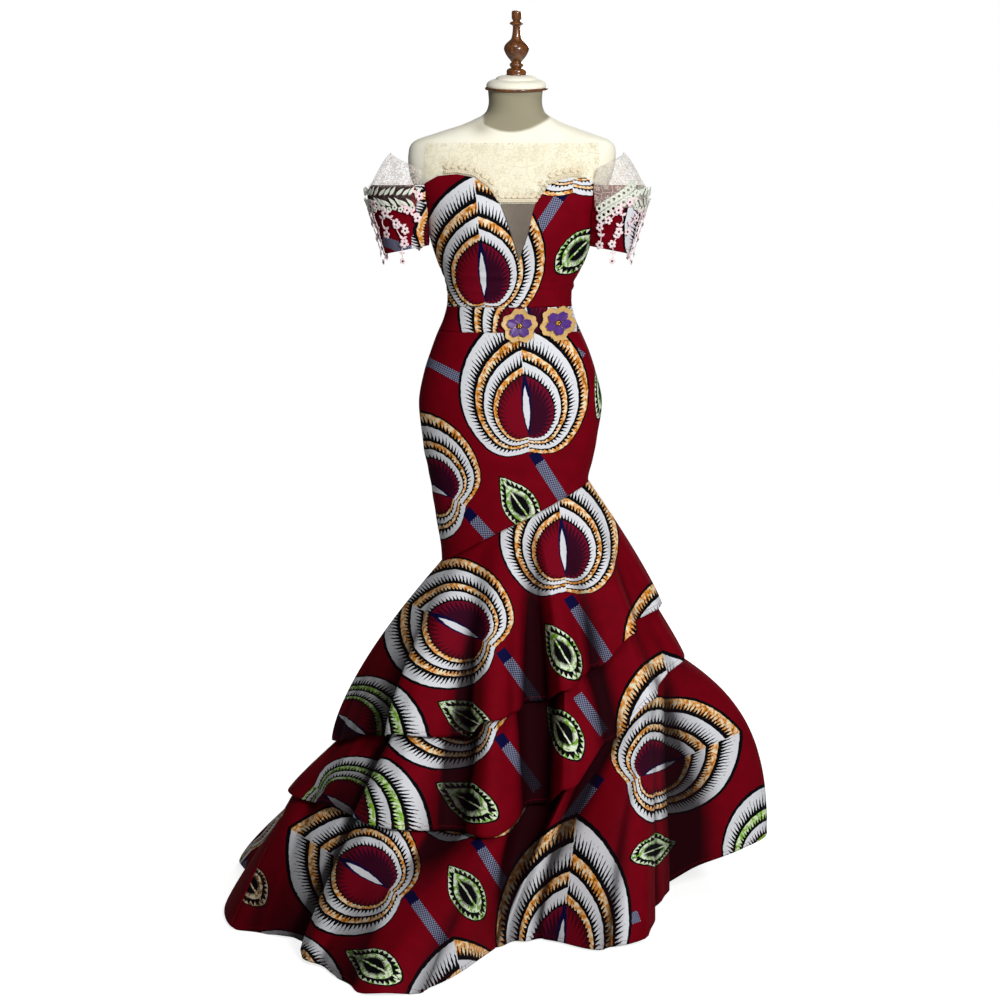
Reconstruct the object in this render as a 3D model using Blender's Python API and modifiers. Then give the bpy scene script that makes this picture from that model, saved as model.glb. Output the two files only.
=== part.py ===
"""A trumpet maxi dress with three slanted tiers, worn by a limbless dress form on a stand.

Metres, +Z up. The origin is on the floor under the middle of the stand's base. The front of the dress
faces -Y, and left and right are as seen from the front. Angles go round the dress from +X through +Y,
in degrees, so the front is at 270 and the side seams are at 180 and 360.
"""

import math
from typing import NamedTuple

import bmesh
import bpy
from mathutils import Matrix, Vector

OBJECT_NAME = "trumpet_maxi_dress_on_form"

# Cloth
PRINT_WALL = 0.0016
NET_WALL = 0.0010
LACE_WALL = 0.0016
SEAM_GAP = 0.0003
STEEP_SEAM_GAP = 0.0044
YOKE_GAP = 0.0010
FORM_CLEARANCE = 0.0045
FORM_HIP_CLEARANCE = 0.0085
ROUNDNESS = 2.2

# Heights of the fitted part
BAND_TOP = 1.164
BAND_BOTTOM = 1.117
BACK_TOP = 1.360
YOKE_TOP = 1.470
YOKE_SHARE = 0.82
INSET_TOP = 1.357
INSET_SHARES = (-0.110, 0.245)
SLANT_MIDDLE = 0.751
SLANT_RISE = 0.078

# Bust darts, as one soft swell on each side
BUST_SWELL = 0.020
BUST_OFFSET = 0.072
BUST_HEIGHT = 1.315
BUST_TOP = 1.420
BUST_WIDTH = 0.050
BUST_LENGTH = 0.056
FORM_SWELL_SHARE = 0.85

# Columns and rows of the meshes
FOLD_STEPS = 3
FORM_COLUMNS = 32
BODICE_ROWS = 8
BAND_ROWS = 3
SKIRT_ROWS = 8
HEM_TUCK = 0.014

# Stand and neck
POLE_RADIUS = 0.0125
BASE_RADIUS = 0.170
BASE_THICKNESS = 0.010
HUB_RADIUS = 0.028
HUB_HEIGHT = 0.034
FORM_BOTTOM = 0.720
NECK_TOP = 1.573
NECK_SHIFT = 0.010
NECK_TILT = math.radians(8.0)
NECK_START = 1.520


class Section(NamedTuple):
    """One level of the fitted body: half its width, its depth to front and back, and its middle's shift."""
    height: float
    half_width: float
    front: float
    back: float
    shift: float


BODY = [
    Section(1.580, 0.0565, 0.0560, 0.0560, 0.008),
    Section(1.530, 0.0600, 0.0570, 0.0600, 0.008),
    Section(1.508, 0.0980, 0.0580, 0.0650, 0.007),
    Section(1.492, 0.1450, 0.0600, 0.0700, 0.005),
    Section(1.475, 0.1900, 0.0640, 0.0760, 0.003),
    Section(1.452, 0.2010, 0.0700, 0.0820, 0.002),
    Section(1.410, 0.1960, 0.0820, 0.0900, 0.000),
    Section(1.370, 0.1790, 0.0930, 0.0950, 0.000),
    Section(1.335, 0.1630, 0.1010, 0.0960, 0.000),
    Section(1.295, 0.1550, 0.1030, 0.0940, 0.000),
    Section(1.250, 0.1410, 0.0980, 0.0880, 0.000),
    Section(1.213, 0.1250, 0.0910, 0.0810, -0.002),
    Section(1.175, 0.1185, 0.0870, 0.0780, -0.003),
    Section(1.140, 0.1260, 0.0880, 0.0800, -0.003),
    Section(1.110, 0.1390, 0.0920, 0.0880, -0.003),
    Section(1.080, 0.1510, 0.0960, 0.0980, -0.002),
    Section(1.040, 0.1640, 0.1010, 0.1100, -0.002),
    Section(0.984, 0.1755, 0.1070, 0.1230, -0.001),
    Section(0.926, 0.1700, 0.1090, 0.1230, -0.002),
    Section(0.880, 0.1630, 0.1070, 0.1170, -0.003),
    Section(0.830, 0.1530, 0.1030, 0.1090, -0.003),
    Section(0.760, 0.1430, 0.1000, 0.1030, -0.002),
    Section(0.700, 0.1350, 0.0980, 0.0990, 0.000),
    Section(0.640, 0.1330, 0.0980, 0.0980, 0.000),
]


class EdgePoint(NamedTuple):
    """A point of the bodice's top edge: its share of the half width, and its height."""
    share: float
    height: float


NECKLINE = [
    EdgePoint(-1.000, 1.360),
    EdgePoint(-0.990, 1.363),
    EdgePoint(-0.960, 1.373),
    EdgePoint(-0.880, 1.392),
    EdgePoint(-0.700, 1.409),
    EdgePoint(-0.520, 1.412),
    EdgePoint(-0.355, 1.406),
    EdgePoint(-0.215, 1.384),
    EdgePoint(-0.122, 1.355),
    EdgePoint(-0.060, 1.325),
    EdgePoint(0.013, 1.290),
    EdgePoint(0.096, 1.248),
    EdgePoint(0.200, 1.300),
    EdgePoint(0.256, 1.355),
    EdgePoint(0.371, 1.393),
    EdgePoint(0.540, 1.404),
    EdgePoint(0.714, 1.406),
    EdgePoint(0.880, 1.388),
    EdgePoint(0.960, 1.371),
    EdgePoint(0.990, 1.363),
    EdgePoint(1.000, 1.360),
]


class Fold(NamedTuple):
    """The crest or trough of a hem's fold. Drape is how soon the cloth above it swings out."""
    angle: float
    radius: float
    height: float
    drape: float


# Crests and troughs by turns, from the left side seam round the front to the back. The same row is the
# same fold in all three tiers.
TIER_1 = [
    Fold(180, 0.350, 0.320, 0.45),
    Fold(212, 0.300, 0.362, 0.40),
    Fold(232, 0.325, 0.386, 0.40),
    Fold(250, 0.265, 0.379, 0.35),
    Fold(262, 0.300, 0.421, 0.35),
    Fold(284, 0.235, 0.443, 0.30),
    Fold(289, 0.290, 0.472, 0.30),
    Fold(306, 0.270, 0.502, 0.25),
    Fold(322, 0.287, 0.560, 0.20),
    Fold(338, 0.268, 0.578, 0.15),
    Fold(360, 0.293, 0.590, 0.15),
    Fold(381, 0.255, 0.575, 0.20),
    Fold(404, 0.285, 0.545, 0.25),
    Fold(427, 0.250, 0.510, 0.30),
    Fold(450, 0.290, 0.470, 0.30),
    Fold(473, 0.255, 0.430, 0.35),
    Fold(496, 0.300, 0.390, 0.40),
    Fold(519, 0.290, 0.350, 0.40),
]
TIER_2 = [
    Fold(184, 0.435, 0.225, 0.10),
    Fold(210, 0.385, 0.232, 0.20),
    Fold(236, 0.400, 0.229, 0.30),
    Fold(252, 0.315, 0.215, 0.30),
    Fold(263, 0.345, 0.215, 0.40),
    Fold(281, 0.275, 0.257, 0.40),
    Fold(287, 0.330, 0.297, 0.40),
    Fold(305, 0.315, 0.369, 0.30),
    Fold(320, 0.335, 0.441, 0.20),
    Fold(340, 0.320, 0.475, 0.10),
    Fold(358, 0.337, 0.490, 0.10),
    Fold(382, 0.315, 0.475, 0.20),
    Fold(406, 0.355, 0.440, 0.20),
    Fold(428, 0.325, 0.400, 0.30),
    Fold(452, 0.375, 0.355, 0.30),
    Fold(475, 0.340, 0.310, 0.30),
    Fold(498, 0.395, 0.270, 0.30),
    Fold(522, 0.385, 0.240, 0.20),
]
TIER_3 = [
    Fold(201, 0.566, 0.004, 0.10),
    Fold(214, 0.492, 0.004, 0.20),
    Fold(230, 0.545, 0.004, 0.20),
    Fold(246, 0.634, 0.004, 0.20),
    Fold(255, 0.605, 0.004, 0.10),
    Fold(264, 0.325, 0.004, 0.20),
    Fold(273, 0.300, 0.004, 0.50),
    Fold(282, 0.275, 0.004, 0.80),
    Fold(297, 0.390, 0.004, 0.30),
    Fold(346, 0.312, 0.050, 1.00),
    Fold(373, 0.522, 0.110, 1.90),
    Fold(395, 0.500, 0.075, 1.50),
    Fold(417, 0.600, 0.035, 1.00),
    Fold(438, 0.550, 0.008, 0.80),
    Fold(460, 0.660, 0.004, 0.40),
    Fold(482, 0.600, 0.004, 0.40),
    Fold(505, 0.650, 0.004, 0.20),
    Fold(528, 0.550, 0.004, 0.20),
]
SIDE_SEAM_FOLD = 10
BACK_SEAM_FOLD = 14
TIER_1_LEVELS = (0.0, 0.2, 0.4, 0.6, 0.8, 1.0)
TIER_2_LEVELS = (0.35, 0.7, 1.0)
TIER_3_LEVELS = (0.16, 0.34, 0.54, 0.77, 1.0)


class ArmRing(NamedTuple):
    """A level of the sleeve: how far out and in it reaches from the middle, and half its depth."""
    height: float
    outer: float
    inner: float
    half_depth: float


SLEEVE = [
    ArmRing(1.460, 0.2120, 0.1500, 0.0340),
    ArmRing(1.440, 0.2300, 0.1420, 0.0520),
    ArmRing(1.400, 0.2530, 0.1340, 0.0650),
    ArmRing(1.378, 0.2660, 0.1320, 0.0680),
    ArmRing(1.345, 0.2600, 0.1370, 0.0660),
    ArmRing(1.300, 0.2460, 0.1450, 0.0600),
    ArmRing(1.262, 0.2350, 0.1520, 0.0540),
]
SLEEVE_SHIFT = -0.007
SIDE_SIGNS = {"left": -1, "right": 1}
SLEEVE_TOP = 1.392
SLEEVE_CUFF = 1.262
SLEEVE_COLUMNS = 24
SLEEVE_ROWS = 4
SLEEVE_CLEARANCE = 0.0016
CAP_LIFT = 0.0032
CAP_REACH = math.radians(122.0)
CAP_TOP = 1.455
CAP_DROP = 0.035
CAP_BOTTOM = 1.350
CAP_COLUMNS = 11
CAP_ROWS = 7

# Flower chains
CHAIN_LIFT = 0.0030
CHAIN_COUNT = 11
CHAIN_REACH = math.radians(110.0)
CHAIN_FLOWERS = 4
CHAIN_PITCH = 0.021
TAPE_HEIGHT = 0.005
TAPE_THICKNESS = 0.0020
FLOWER_HALF_WIDTH = 0.0060
LINK_HALF_WIDTH = 0.0014
CHAIN_HALF_DEPTH = 0.0010


class BeltFlower(NamedTuple):
    """Where a flower is sewn on the waistband, and the angle of its first petal."""
    name: str
    across: float
    height: float
    turn: float


BELT_FLOWERS = [
    BeltFlower("left", 0.015, 1.1290, math.radians(90.0)),
    BeltFlower("right", 0.085, 1.1330, math.radians(60.0)),
]


class Petals(NamedTuple):
    """A ring of five petals: its radius, its height above the cloth and how far its tips curl up."""
    colour: str
    radius: float
    lift: float
    curl: float


PETAL_RINGS = [
    Petals("gold", 0.0340, 0.0020, 0.0045),
    Petals("purple", 0.0240, 0.0041, 0.0036),
]
PETAL_COUNT = 5
PETAL_COLUMNS = 25
PETAL_SHARES = (0.12, 0.60, 1.0)
PETAL_NOTCH = 0.34


class Finish(NamedTuple):
    """A plain surface: its colour (linear), roughness and metallic value."""
    colour: tuple
    roughness: float
    metallic: float


PRINT = Finish((0.140, 0.008, 0.014), 0.75, 0.0)
NET = Finish((0.860, 0.800, 0.640), 0.70, 0.0)
TAUPE_MESH = Finish((0.160, 0.120, 0.090), 0.80, 0.0)
LACE = Finish((0.800, 0.780, 0.760), 0.70, 0.0)
CHAIN = Finish((0.800, 0.560, 0.560), 0.70, 0.0)
GOLD_CLOTH = Finish((0.600, 0.420, 0.180), 0.55, 0.0)
PURPLE_CLOTH = Finish((0.060, 0.014, 0.220), 0.60, 0.0)
FORM_CLOTH = Finish((0.850, 0.820, 0.650), 0.80, 0.0)
DARK_WOOD = Finish((0.110, 0.022, 0.008), 0.35, 0.0)
STEEL = Finish((0.100, 0.100, 0.105), 0.40, 0.8)


# Interpolation

def ease(share):
    """A smooth step from 0 to 1."""
    return share * share * (3.0 - 2.0 * share)


def table_at(rows, height):
    """A row of a table read at any height, on a smooth curve through its rows, which run downwards."""
    last = len(rows) - 1
    height = min(max(height, rows[last].height), rows[0].height)
    index = 0
    while index < last - 1 and rows[index + 1].height > height:
        index += 1
    above, upper, lower, below = (rows[min(max(index + step, 0), last)] for step in (-1, 0, 1, 2))
    span = upper.height - lower.height
    share = (upper.height - height) / span
    values = []
    for column in range(len(upper)):
        start = (lower[column] - above[column]) / (above.height - lower.height) * span
        end = (below[column] - upper[column]) / (upper.height - below.height) * span
        values.append(
            upper[column] * (1 + 2 * share) * (1 - share) ** 2
            + lower[column] * share * share * (3 - 2 * share)
            + start * share * (1 - share) ** 2
            - end * share * share * (1 - share)
        )
    return type(upper)(*values)


def neckline_height(share):
    """Height of the bodice's top edge at a share of the half width."""
    for left, right in zip(NECKLINE, NECKLINE[1:]):
        if share <= right.share:
            part = (share - left.share) / (right.share - left.share)
            return left.height + (right.height - left.height) * part
    return NECKLINE[-1].height


# The fitted body

def angle_of(share, front=True):
    """Angle, in radians, of the column that stays at a share of the half width."""
    turn = math.acos(math.copysign(abs(share) ** (ROUNDNESS / 2), share))
    return -turn if front else turn


def body_point(angle, height, out=0.0):
    """Point of the fitted body's outside at an angle in radians, moved out by a small distance."""
    section = table_at(BODY, height)
    across = math.copysign(abs(math.cos(angle)) ** (2 / ROUNDNESS), math.cos(angle))
    deep = math.copysign(abs(math.sin(angle)) ** (2 / ROUNDNESS), math.sin(angle))
    depth = section.front if deep < 0 else section.back
    x = (section.half_width + out) * across
    y = (depth + out) * deep
    if deep < 0:
        swell = bust_swell(x, height) * abs(deep)
        y -= swell * FORM_SWELL_SHARE if out < 0 else swell
    return Vector((x + section.shift, y, height))


def bust_swell(x, height):
    """How far the bust stands forward of the plain section."""
    up = (height - BUST_HEIGHT) / BUST_LENGTH
    return BUST_SWELL * sum(
        math.exp(-((x - side * BUST_OFFSET) / BUST_WIDTH) ** 2 - up * up) for side in (-1, 1)
    )


def front_point(x, height, out=0.0):
    """Point of the body's front at a place across it, moved out along the surface's normal."""
    def plain(across, level):
        section = table_at(BODY, level)
        share = (across - section.shift) / section.half_width
        return body_point(angle_of(share), level)
    step = 0.004
    across = plain(x + step, height) - plain(x - step, height)
    up = plain(x, height + step) - plain(x, height - step)
    return plain(x, height) + across.cross(up).normalized() * out


def pushed_clear(point, out):
    """A point moved straight out from the body's axis where it would be nearer than out to the body."""
    section = table_at(BODY, point.z)
    x = point.x - section.shift
    depth = section.front if point.y < 0 else section.back
    reach = abs(x / (section.half_width + out)) ** ROUNDNESS + abs(point.y / (depth + out)) ** ROUNDNESS
    if reach >= 1:
        return point
    scale = reach ** (-1 / ROUNDNESS)
    return Vector((x * scale + section.shift, point.y * scale, point.z))


def slant_height(angle):
    """Height of the slanted seam under the fitted skirt."""
    return SLANT_MIDDLE + SLANT_RISE * math.cos(angle)


# Cloth: a grid of outer points with normals, and the wall inside it

class Cloth:
    """Rows of outer points from the top down, with columns anticlockwise as seen from above."""

    def __init__(self, points, closed, normals=None):
        self.points = points
        self.closed = closed
        self.normals = normals or self.find_normals()

    def find_normals(self):
        """Normal at each point, from its neighbours."""
        rows, columns = len(self.points), len(self.points[0])
        normals = []
        for row in range(rows):
            line = []
            for column in range(columns):
                left, right = column - 1, column + 1
                if self.closed:
                    left, right = left % columns, right % columns
                else:
                    left, right = max(left, 0), min(right, columns - 1)
                down = self.points[min(row + 1, rows - 1)][column] - self.points[max(row - 1, 0)][column]
                along = self.points[row][right] - self.points[row][left]
                line.append(down.cross(along).normalized())
            normals.append(line)
        return normals

    def panel(self, first, last):
        """The columns from first to last of a closed cloth, as an open piece with its side edges cut back."""
        count = len(self.points[0])
        picked = [column % count for column in range(first, last + 1)]
        points = [[row[column] for column in picked] for row in self.points]
        normals = [[row[column] for column in picked] for row in self.normals]
        piece = Cloth(points, False, normals)
        piece.cut_back_sides()
        return piece

    def cut_back_sides(self):
        """Moves the side edges in by half a seam's gap."""
        for row in self.points:
            start = (row[1] - row[0]).normalized() * SEAM_GAP / 2
            end = (row[-2] - row[-1]).normalized() * SEAM_GAP / 2
            row[0] = row[0] + start
            row[-1] = row[-1] + end


def add_object(name, mesh, finish, collection):
    """Puts a mesh in the collection as a named object with its own material."""
    material = bpy.data.materials.new(name)
    material.use_nodes = True
    shader = material.node_tree.nodes["Principled BSDF"]
    shader.inputs["Base Color"].default_value = (*finish.colour, 1.0)
    shader.inputs["Roughness"].default_value = finish.roughness
    shader.inputs["Metallic"].default_value = finish.metallic
    mesh.materials.append(material)
    thing = bpy.data.objects.new(name, mesh)
    collection.objects.link(thing)
    return thing


def mesh_from(name, build):
    """Makes a smooth-shaded mesh, with sharp edges kept, out of a bmesh."""
    bmesh.ops.recalc_face_normals(build, faces=build.faces)
    mesh = bpy.data.meshes.new(name)
    build.to_mesh(mesh)
    build.free()
    mesh.shade_smooth()
    mesh.set_sharp_from_angle(angle=math.radians(50))
    return mesh


def add_wall(name, cloth, thickness, finish, collection, holes=()):
    """Makes the closed wall inside a cloth's outer points. Holes are cells, as row and column, left open."""
    rows, columns = len(cloth.points), len(cloth.points[0])
    across = columns if cloth.closed else columns - 1
    cells = {(r, c) for r in range(rows - 1) for c in range(across)} - set(holes)
    build = bmesh.new()
    outer, inner = {}, {}
    for r, c in sorted(cells):
        for key in ((r, c), (r + 1, c), (r, (c + 1) % columns), (r + 1, (c + 1) % columns)):
            if key not in outer:
                point, normal = cloth.points[key[0]][key[1]], cloth.normals[key[0]][key[1]]
                outer[key] = build.verts.new(point)
                inner[key] = build.verts.new(point - normal * thickness)
    for r, c in sorted(cells):
        right = (c + 1) % columns
        corners = [(r, c), (r + 1, c), (r + 1, right), (r, right)]
        for a, b, d in ((0, 1, 2), (0, 2, 3)):
            build.faces.new([outer[corners[a]], outer[corners[b]], outer[corners[d]]])
            build.faces.new([inner[corners[d]], inner[corners[b]], inner[corners[a]]])
        left = (c - 1) % columns if cloth.closed else c - 1
        beside = [(r, left), (r + 1, c), (r, right if cloth.closed else c + 1), (r - 1, c)]
        for side, cell in enumerate(beside):
            if cell not in cells:
                a, b = corners[side], corners[(side + 1) % 4]
                build.faces.new([outer[b], outer[a], inner[a], inner[b]])
    return add_object(name, mesh_from(name, build), finish, collection)


def level_grid(angles, tops, bottoms, rows, out=0.0):
    """Rows of body points between a top and a bottom height for each column."""
    grid = []
    for row in range(rows + 1):
        share = row / rows
        heights = [top + (bottom - top) * share for top, bottom in zip(tops, bottoms)]
        grid.append([body_point(angle, height, out) for angle, height in zip(angles, heights)])
    return grid


# The fitted pieces

def make_bodice(collection):
    """Front bodice with the sweetheart edge, and the two back pieces."""
    bottom = BAND_TOP + SEAM_GAP
    front_angles = [angle_of(point.share) for point in NECKLINE]
    tops = [point.height for point in NECKLINE]
    back_angles = [math.pi * step / 16 for step in range(17)]
    back_count = len(back_angles)
    angles = front_angles[:-1] + back_angles[:-1]
    tops = tops[:-1] + [BACK_TOP] * (back_count - 1)
    grid = level_grid(angles, tops, [bottom] * len(angles), BODICE_ROWS)
    ring = Cloth(grid, True)
    side = len(NECKLINE) - 1
    middle = side + (back_count - 1) // 2
    add_wall("bodice_front", ring.panel(0, side), PRINT_WALL, PRINT, collection)
    add_wall("bodice_back_right", ring.panel(side, middle), PRINT_WALL, PRINT, collection)
    add_wall("bodice_back_left", ring.panel(middle, side + back_count - 1), PRINT_WALL, PRINT, collection)


def make_neck_inset(collection):
    """The mesh inset in the V, just above the bodice's edge."""
    shares = [INSET_SHARES[0]]
    shares += [p.share for p in NECKLINE if INSET_SHARES[0] < p.share < INSET_SHARES[1]]
    shares.append(INSET_SHARES[1])
    angles = [angle_of(share) for share in shares]
    bottoms = [neckline_height(share) + STEEP_SEAM_GAP for share in shares]
    grid = level_grid(angles, [INSET_TOP] * len(angles), bottoms, 3)
    inset = Cloth(grid, False)
    inset.cut_back_sides()
    add_wall("neck_inset", inset, NET_WALL, TAUPE_MESH, collection)


def make_yoke(collection):
    """The net yoke above the bodice, front and back."""
    inner = [point for point in NECKLINE if abs(point.share) < YOKE_SHARE]
    shares = [-YOKE_SHARE] + [point.share for point in inner] + [YOKE_SHARE]
    bottoms = [max(neckline_height(share) + YOKE_GAP, INSET_TOP + SEAM_GAP) for share in shares]
    angles = [angle_of(share) for share in shares]
    front = Cloth(level_grid(angles, [YOKE_TOP] * len(angles), bottoms, 4), False)
    add_wall("yoke_front", front, NET_WALL, NET, collection)
    shares = [YOKE_SHARE * (1 - step / 6) for step in range(13)]
    angles = [angle_of(share, front=False) for share in shares]
    bottom = BACK_TOP + SEAM_GAP
    back = Cloth(level_grid(angles, [YOKE_TOP] * 13, [bottom] * 13, 4), False)
    add_wall("yoke_back", back, NET_WALL, NET, collection)


def skirt_angles():
    """Angles of the skirt's columns, which are every second column of the first tier."""
    return [math.radians(column.angle) for column in hem_columns(TIER_1)[::2]]


def make_waistband(collection):
    """The band between bodice and skirt, front and back."""
    angles = skirt_angles()
    count = len(angles)
    ring = Cloth(level_grid(angles, [BAND_TOP] * count, [BAND_BOTTOM] * count, BAND_ROWS), True)
    side = SIDE_SEAM_FOLD * FOLD_STEPS // 2
    add_wall("waistband_front", ring.panel(0, side), PRINT_WALL, PRINT, collection)
    add_wall("waistband_back", ring.panel(side, count), PRINT_WALL, PRINT, collection)


def make_skirt(collection):
    """The fitted skirt down to the slanted seam."""
    angles = skirt_angles()
    count = len(angles)
    tops = [BAND_BOTTOM - SEAM_GAP] * count
    bottoms = [slant_height(angle) for angle in angles]
    ring = Cloth(level_grid(angles, tops, bottoms, SKIRT_ROWS), True)
    side = SIDE_SEAM_FOLD * FOLD_STEPS // 2
    middle = BACK_SEAM_FOLD * FOLD_STEPS // 2
    add_wall("skirt_front", ring.panel(0, side), PRINT_WALL, PRINT, collection)
    add_wall("skirt_back_right", ring.panel(side, middle), PRINT_WALL, PRINT, collection)
    add_wall("skirt_back_left", ring.panel(middle, count), PRINT_WALL, PRINT, collection)


# The tiers

def hem_columns(folds):
    """Hem values at each column: FOLD_STEPS of them from each crest or trough to the next."""
    columns = []
    for index, fold in enumerate(folds):
        following = folds[(index + 1) % len(folds)]
        turn = following.angle - fold.angle
        if turn < 0:
            turn += 360.0
        for step in range(FOLD_STEPS):
            share = step / FOLD_STEPS
            soft = ease(share)
            columns.append(Fold(
                fold.angle + turn * share,
                fold.radius + (following.radius - fold.radius) * soft,
                fold.height + (following.height - fold.height) * soft,
                fold.drape + (following.drape - fold.drape) * soft,
            ))
    return columns


def hem_point(column):
    """Place of a hem's column."""
    angle = math.radians(column.angle)
    return Vector((column.radius * math.cos(angle), column.radius * math.sin(angle), column.height))


def flared_rows(starts, folds, levels):
    """Rows from the starting points out and down to a hem."""
    grid = []
    for level in levels:
        row = []
        for start, column in zip(starts, hem_columns(folds)):
            end = hem_point(column)
            out = 1 - (1 - level) ** (1 + column.drape)
            row.append(Vector((
                start.x + (end.x - start.x) * out,
                start.y + (end.y - start.y) * out,
                start.z + (end.z - start.z) * level,
            )))
        grid.append(row)
    return grid


def slant_ring():
    """Top ring of the first tier, under the skirt's edge. Every second point is midway on that edge."""
    angles = skirt_angles()
    points = [body_point(angle, slant_height(angle)) for angle in angles]
    ring = []
    for index, point in enumerate(points):
        following = points[(index + 1) % len(points)]
        ring += [point, (point + following) / 2]
    return [point - Vector((0, 0, SEAM_GAP)) for point in ring]


def lapped_rows(upper):
    """Two rows inside the tier above: its seam, and the level of that tier's hem."""
    seam_row = len(upper.points) - 2
    seam = [
        point - normal * (PRINT_WALL + 2 * SEAM_GAP)
        for point, normal in zip(upper.points[seam_row], upper.normals[seam_row])
    ]
    tucked = []
    for point, normal in zip(upper.points[-1], upper.normals[-1]):
        level = Vector((normal.x, normal.y, 0)).normalized()
        tucked.append(point - level * HEM_TUCK)
    return [seam, tucked]


def make_tiers(collection):
    """The three flounces, each sewn inside the one above it, in a front and a back piece."""
    side = SIDE_SEAM_FOLD * FOLD_STEPS
    tier = Cloth(flared_rows(slant_ring(), TIER_1, TIER_1_LEVELS), True)
    tiers = [tier]
    for folds, levels in ((TIER_2, TIER_2_LEVELS), (TIER_3, TIER_3_LEVELS)):
        lap = lapped_rows(tiers[-1])
        tiers.append(Cloth(lap + flared_rows(lap[-1], folds, levels), True))
    for number, tier in enumerate(tiers, 1):
        count = len(tier.points[0])
        add_wall(f"flounce_{number}_front", tier.panel(0, side), PRINT_WALL, PRINT, collection)
        add_wall(f"flounce_{number}_back", tier.panel(side, count), PRINT_WALL, PRINT, collection)


# Sleeves, lace and chains

def arm_point(side, turn, height, out=0.0):
    """Point round a sleeve: turn is 0 at its outer side, and the point stays clear of the body."""
    ring = table_at(SLEEVE, height)
    middle = (ring.outer + ring.inner) / 2
    across = (ring.outer - ring.inner) / 2 + out
    x = SIDE_SIGNS[side] * (middle + across * math.cos(turn)) + SLEEVE_SHIFT
    y = (ring.half_depth + out) * math.sin(turn)
    return pushed_clear(Vector((x, y, height)), SLEEVE_CLEARANCE + out)


def anticlockwise(grid, side):
    """A sleeve's rows in the order that a cloth needs: the left side's run the other way round."""
    return grid if side == "right" else [list(reversed(row)) for row in grid]


def make_sleeve(side, collection):
    """A short sleeve that hangs beside the bodice."""
    turns = [2 * math.pi * step / SLEEVE_COLUMNS - math.pi for step in range(SLEEVE_COLUMNS)]
    grid = []
    for row in range(SLEEVE_ROWS + 1):
        height = SLEEVE_TOP + (SLEEVE_CUFF - SLEEVE_TOP) * row / SLEEVE_ROWS
        grid.append([arm_point(side, turn, height) for turn in turns])
    add_wall(f"sleeve_{side}", Cloth(anticlockwise(grid, side), True), PRINT_WALL, PRINT, collection)


def make_lace_cap(side, collection):
    """The lace over a sleeve, in two halves that meet at its outer line, with its larger gaps cut."""
    columns = 2 * CAP_COLUMNS
    turns = [CAP_REACH * (step / CAP_COLUMNS - 1) for step in range(columns + 1)]
    grid = []
    for row in range(CAP_ROWS + 1):
        line = []
        for turn in turns:
            top = CAP_TOP - CAP_DROP * abs(turn / CAP_REACH) ** 1.5
            height = top + (CAP_BOTTOM - top) * row / CAP_ROWS
            line.append(arm_point(side, turn, height, CAP_LIFT))
        grid.append(line)
    cap = Cloth(anticlockwise(grid, side), False)
    holes = [(r, c) for r in range(1, CAP_ROWS, 2) for c in range(1, CAP_COLUMNS, 2)]
    first, second = ("front", "back") if side == "right" else ("back", "front")
    add_wall(f"lace_cap_{side}_{first}", cap.panel(0, CAP_COLUMNS), LACE_WALL, LACE, collection, holes)
    add_wall(f"lace_cap_{side}_{second}", cap.panel(CAP_COLUMNS, columns), LACE_WALL, LACE, collection, holes)


def make_chains(side, collection):
    """Flower chains that hang over a sleeve, fused at their tops to a narrow tape."""
    cells = 2 * CHAIN_COUNT + 1
    build = bmesh.new()
    tops, bottoms, frames = [], [], []
    for step in range(cells + 1):
        turn = CHAIN_REACH * (2 * step / cells - 1)
        middle = arm_point(side, turn, CAP_BOTTOM, CHAIN_LIFT)
        along = (arm_point(side, turn + 0.02, CAP_BOTTOM, CHAIN_LIFT) - middle).normalized()
        out = Vector((along.y, -along.x, 0)) * TAPE_THICKNESS / 2
        pair = []
        for drop in (-SEAM_GAP, -SEAM_GAP - TAPE_HEIGHT):
            line = [middle + out, middle - out]
            pair.append([build.verts.new(point + Vector((0, 0, drop))) for point in line])
        tops.append(pair[0])
        bottoms.append(pair[1])
        frames.append(along)
    for step in range(cells):
        near, far = (tops[step], bottoms[step]), (tops[step + 1], bottoms[step + 1])
        build.faces.new([near[0][0], near[1][0], far[1][0], far[0][0]])
        build.faces.new([near[0][1], far[0][1], far[1][1], near[1][1]])
        build.faces.new([near[0][0], far[0][0], far[0][1], near[0][1]])
        corners = [near[1][0], near[1][1], far[1][1], far[1][0]]
        if step % 2:
            hang_chain(build, corners, frames[step])
        else:
            build.faces.new(corners)
    for step in (0, cells):
        build.faces.new([tops[step][0], tops[step][1], bottoms[step][1], bottoms[step][0]])
    add_object(f"flower_chains_{side}", mesh_from(f"flower_chains_{side}", build), CHAIN, collection)


def hang_chain(build, corners, along):
    """Draws a four-sided strand down from four corners, wide at each flower and narrow at each link."""
    middle = sum((corner.co for corner in corners), Vector()) / 4
    out = Vector((along.y, -along.x, 0))
    signs = [(math.copysign(1, (c.co - middle).dot(along)), math.copysign(1, (c.co - middle).dot(out)))
             for c in corners]
    above = corners
    for step in range(2 * CHAIN_FLOWERS):
        half = LINK_HALF_WIDTH if step % 2 == 0 else FLOWER_HALF_WIDTH
        centre = middle - Vector((0, 0, CHAIN_PITCH * (step + 0.6) / 2))
        ring = [build.verts.new(centre + along * half * a + out * CHAIN_HALF_DEPTH * b) for a, b in signs]
        for index in range(4):
            following = (index + 1) % 4
            build.faces.new([above[index], above[following], ring[following], ring[index]])
        above = ring
    build.faces.new(above)


# Belt flowers

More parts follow.
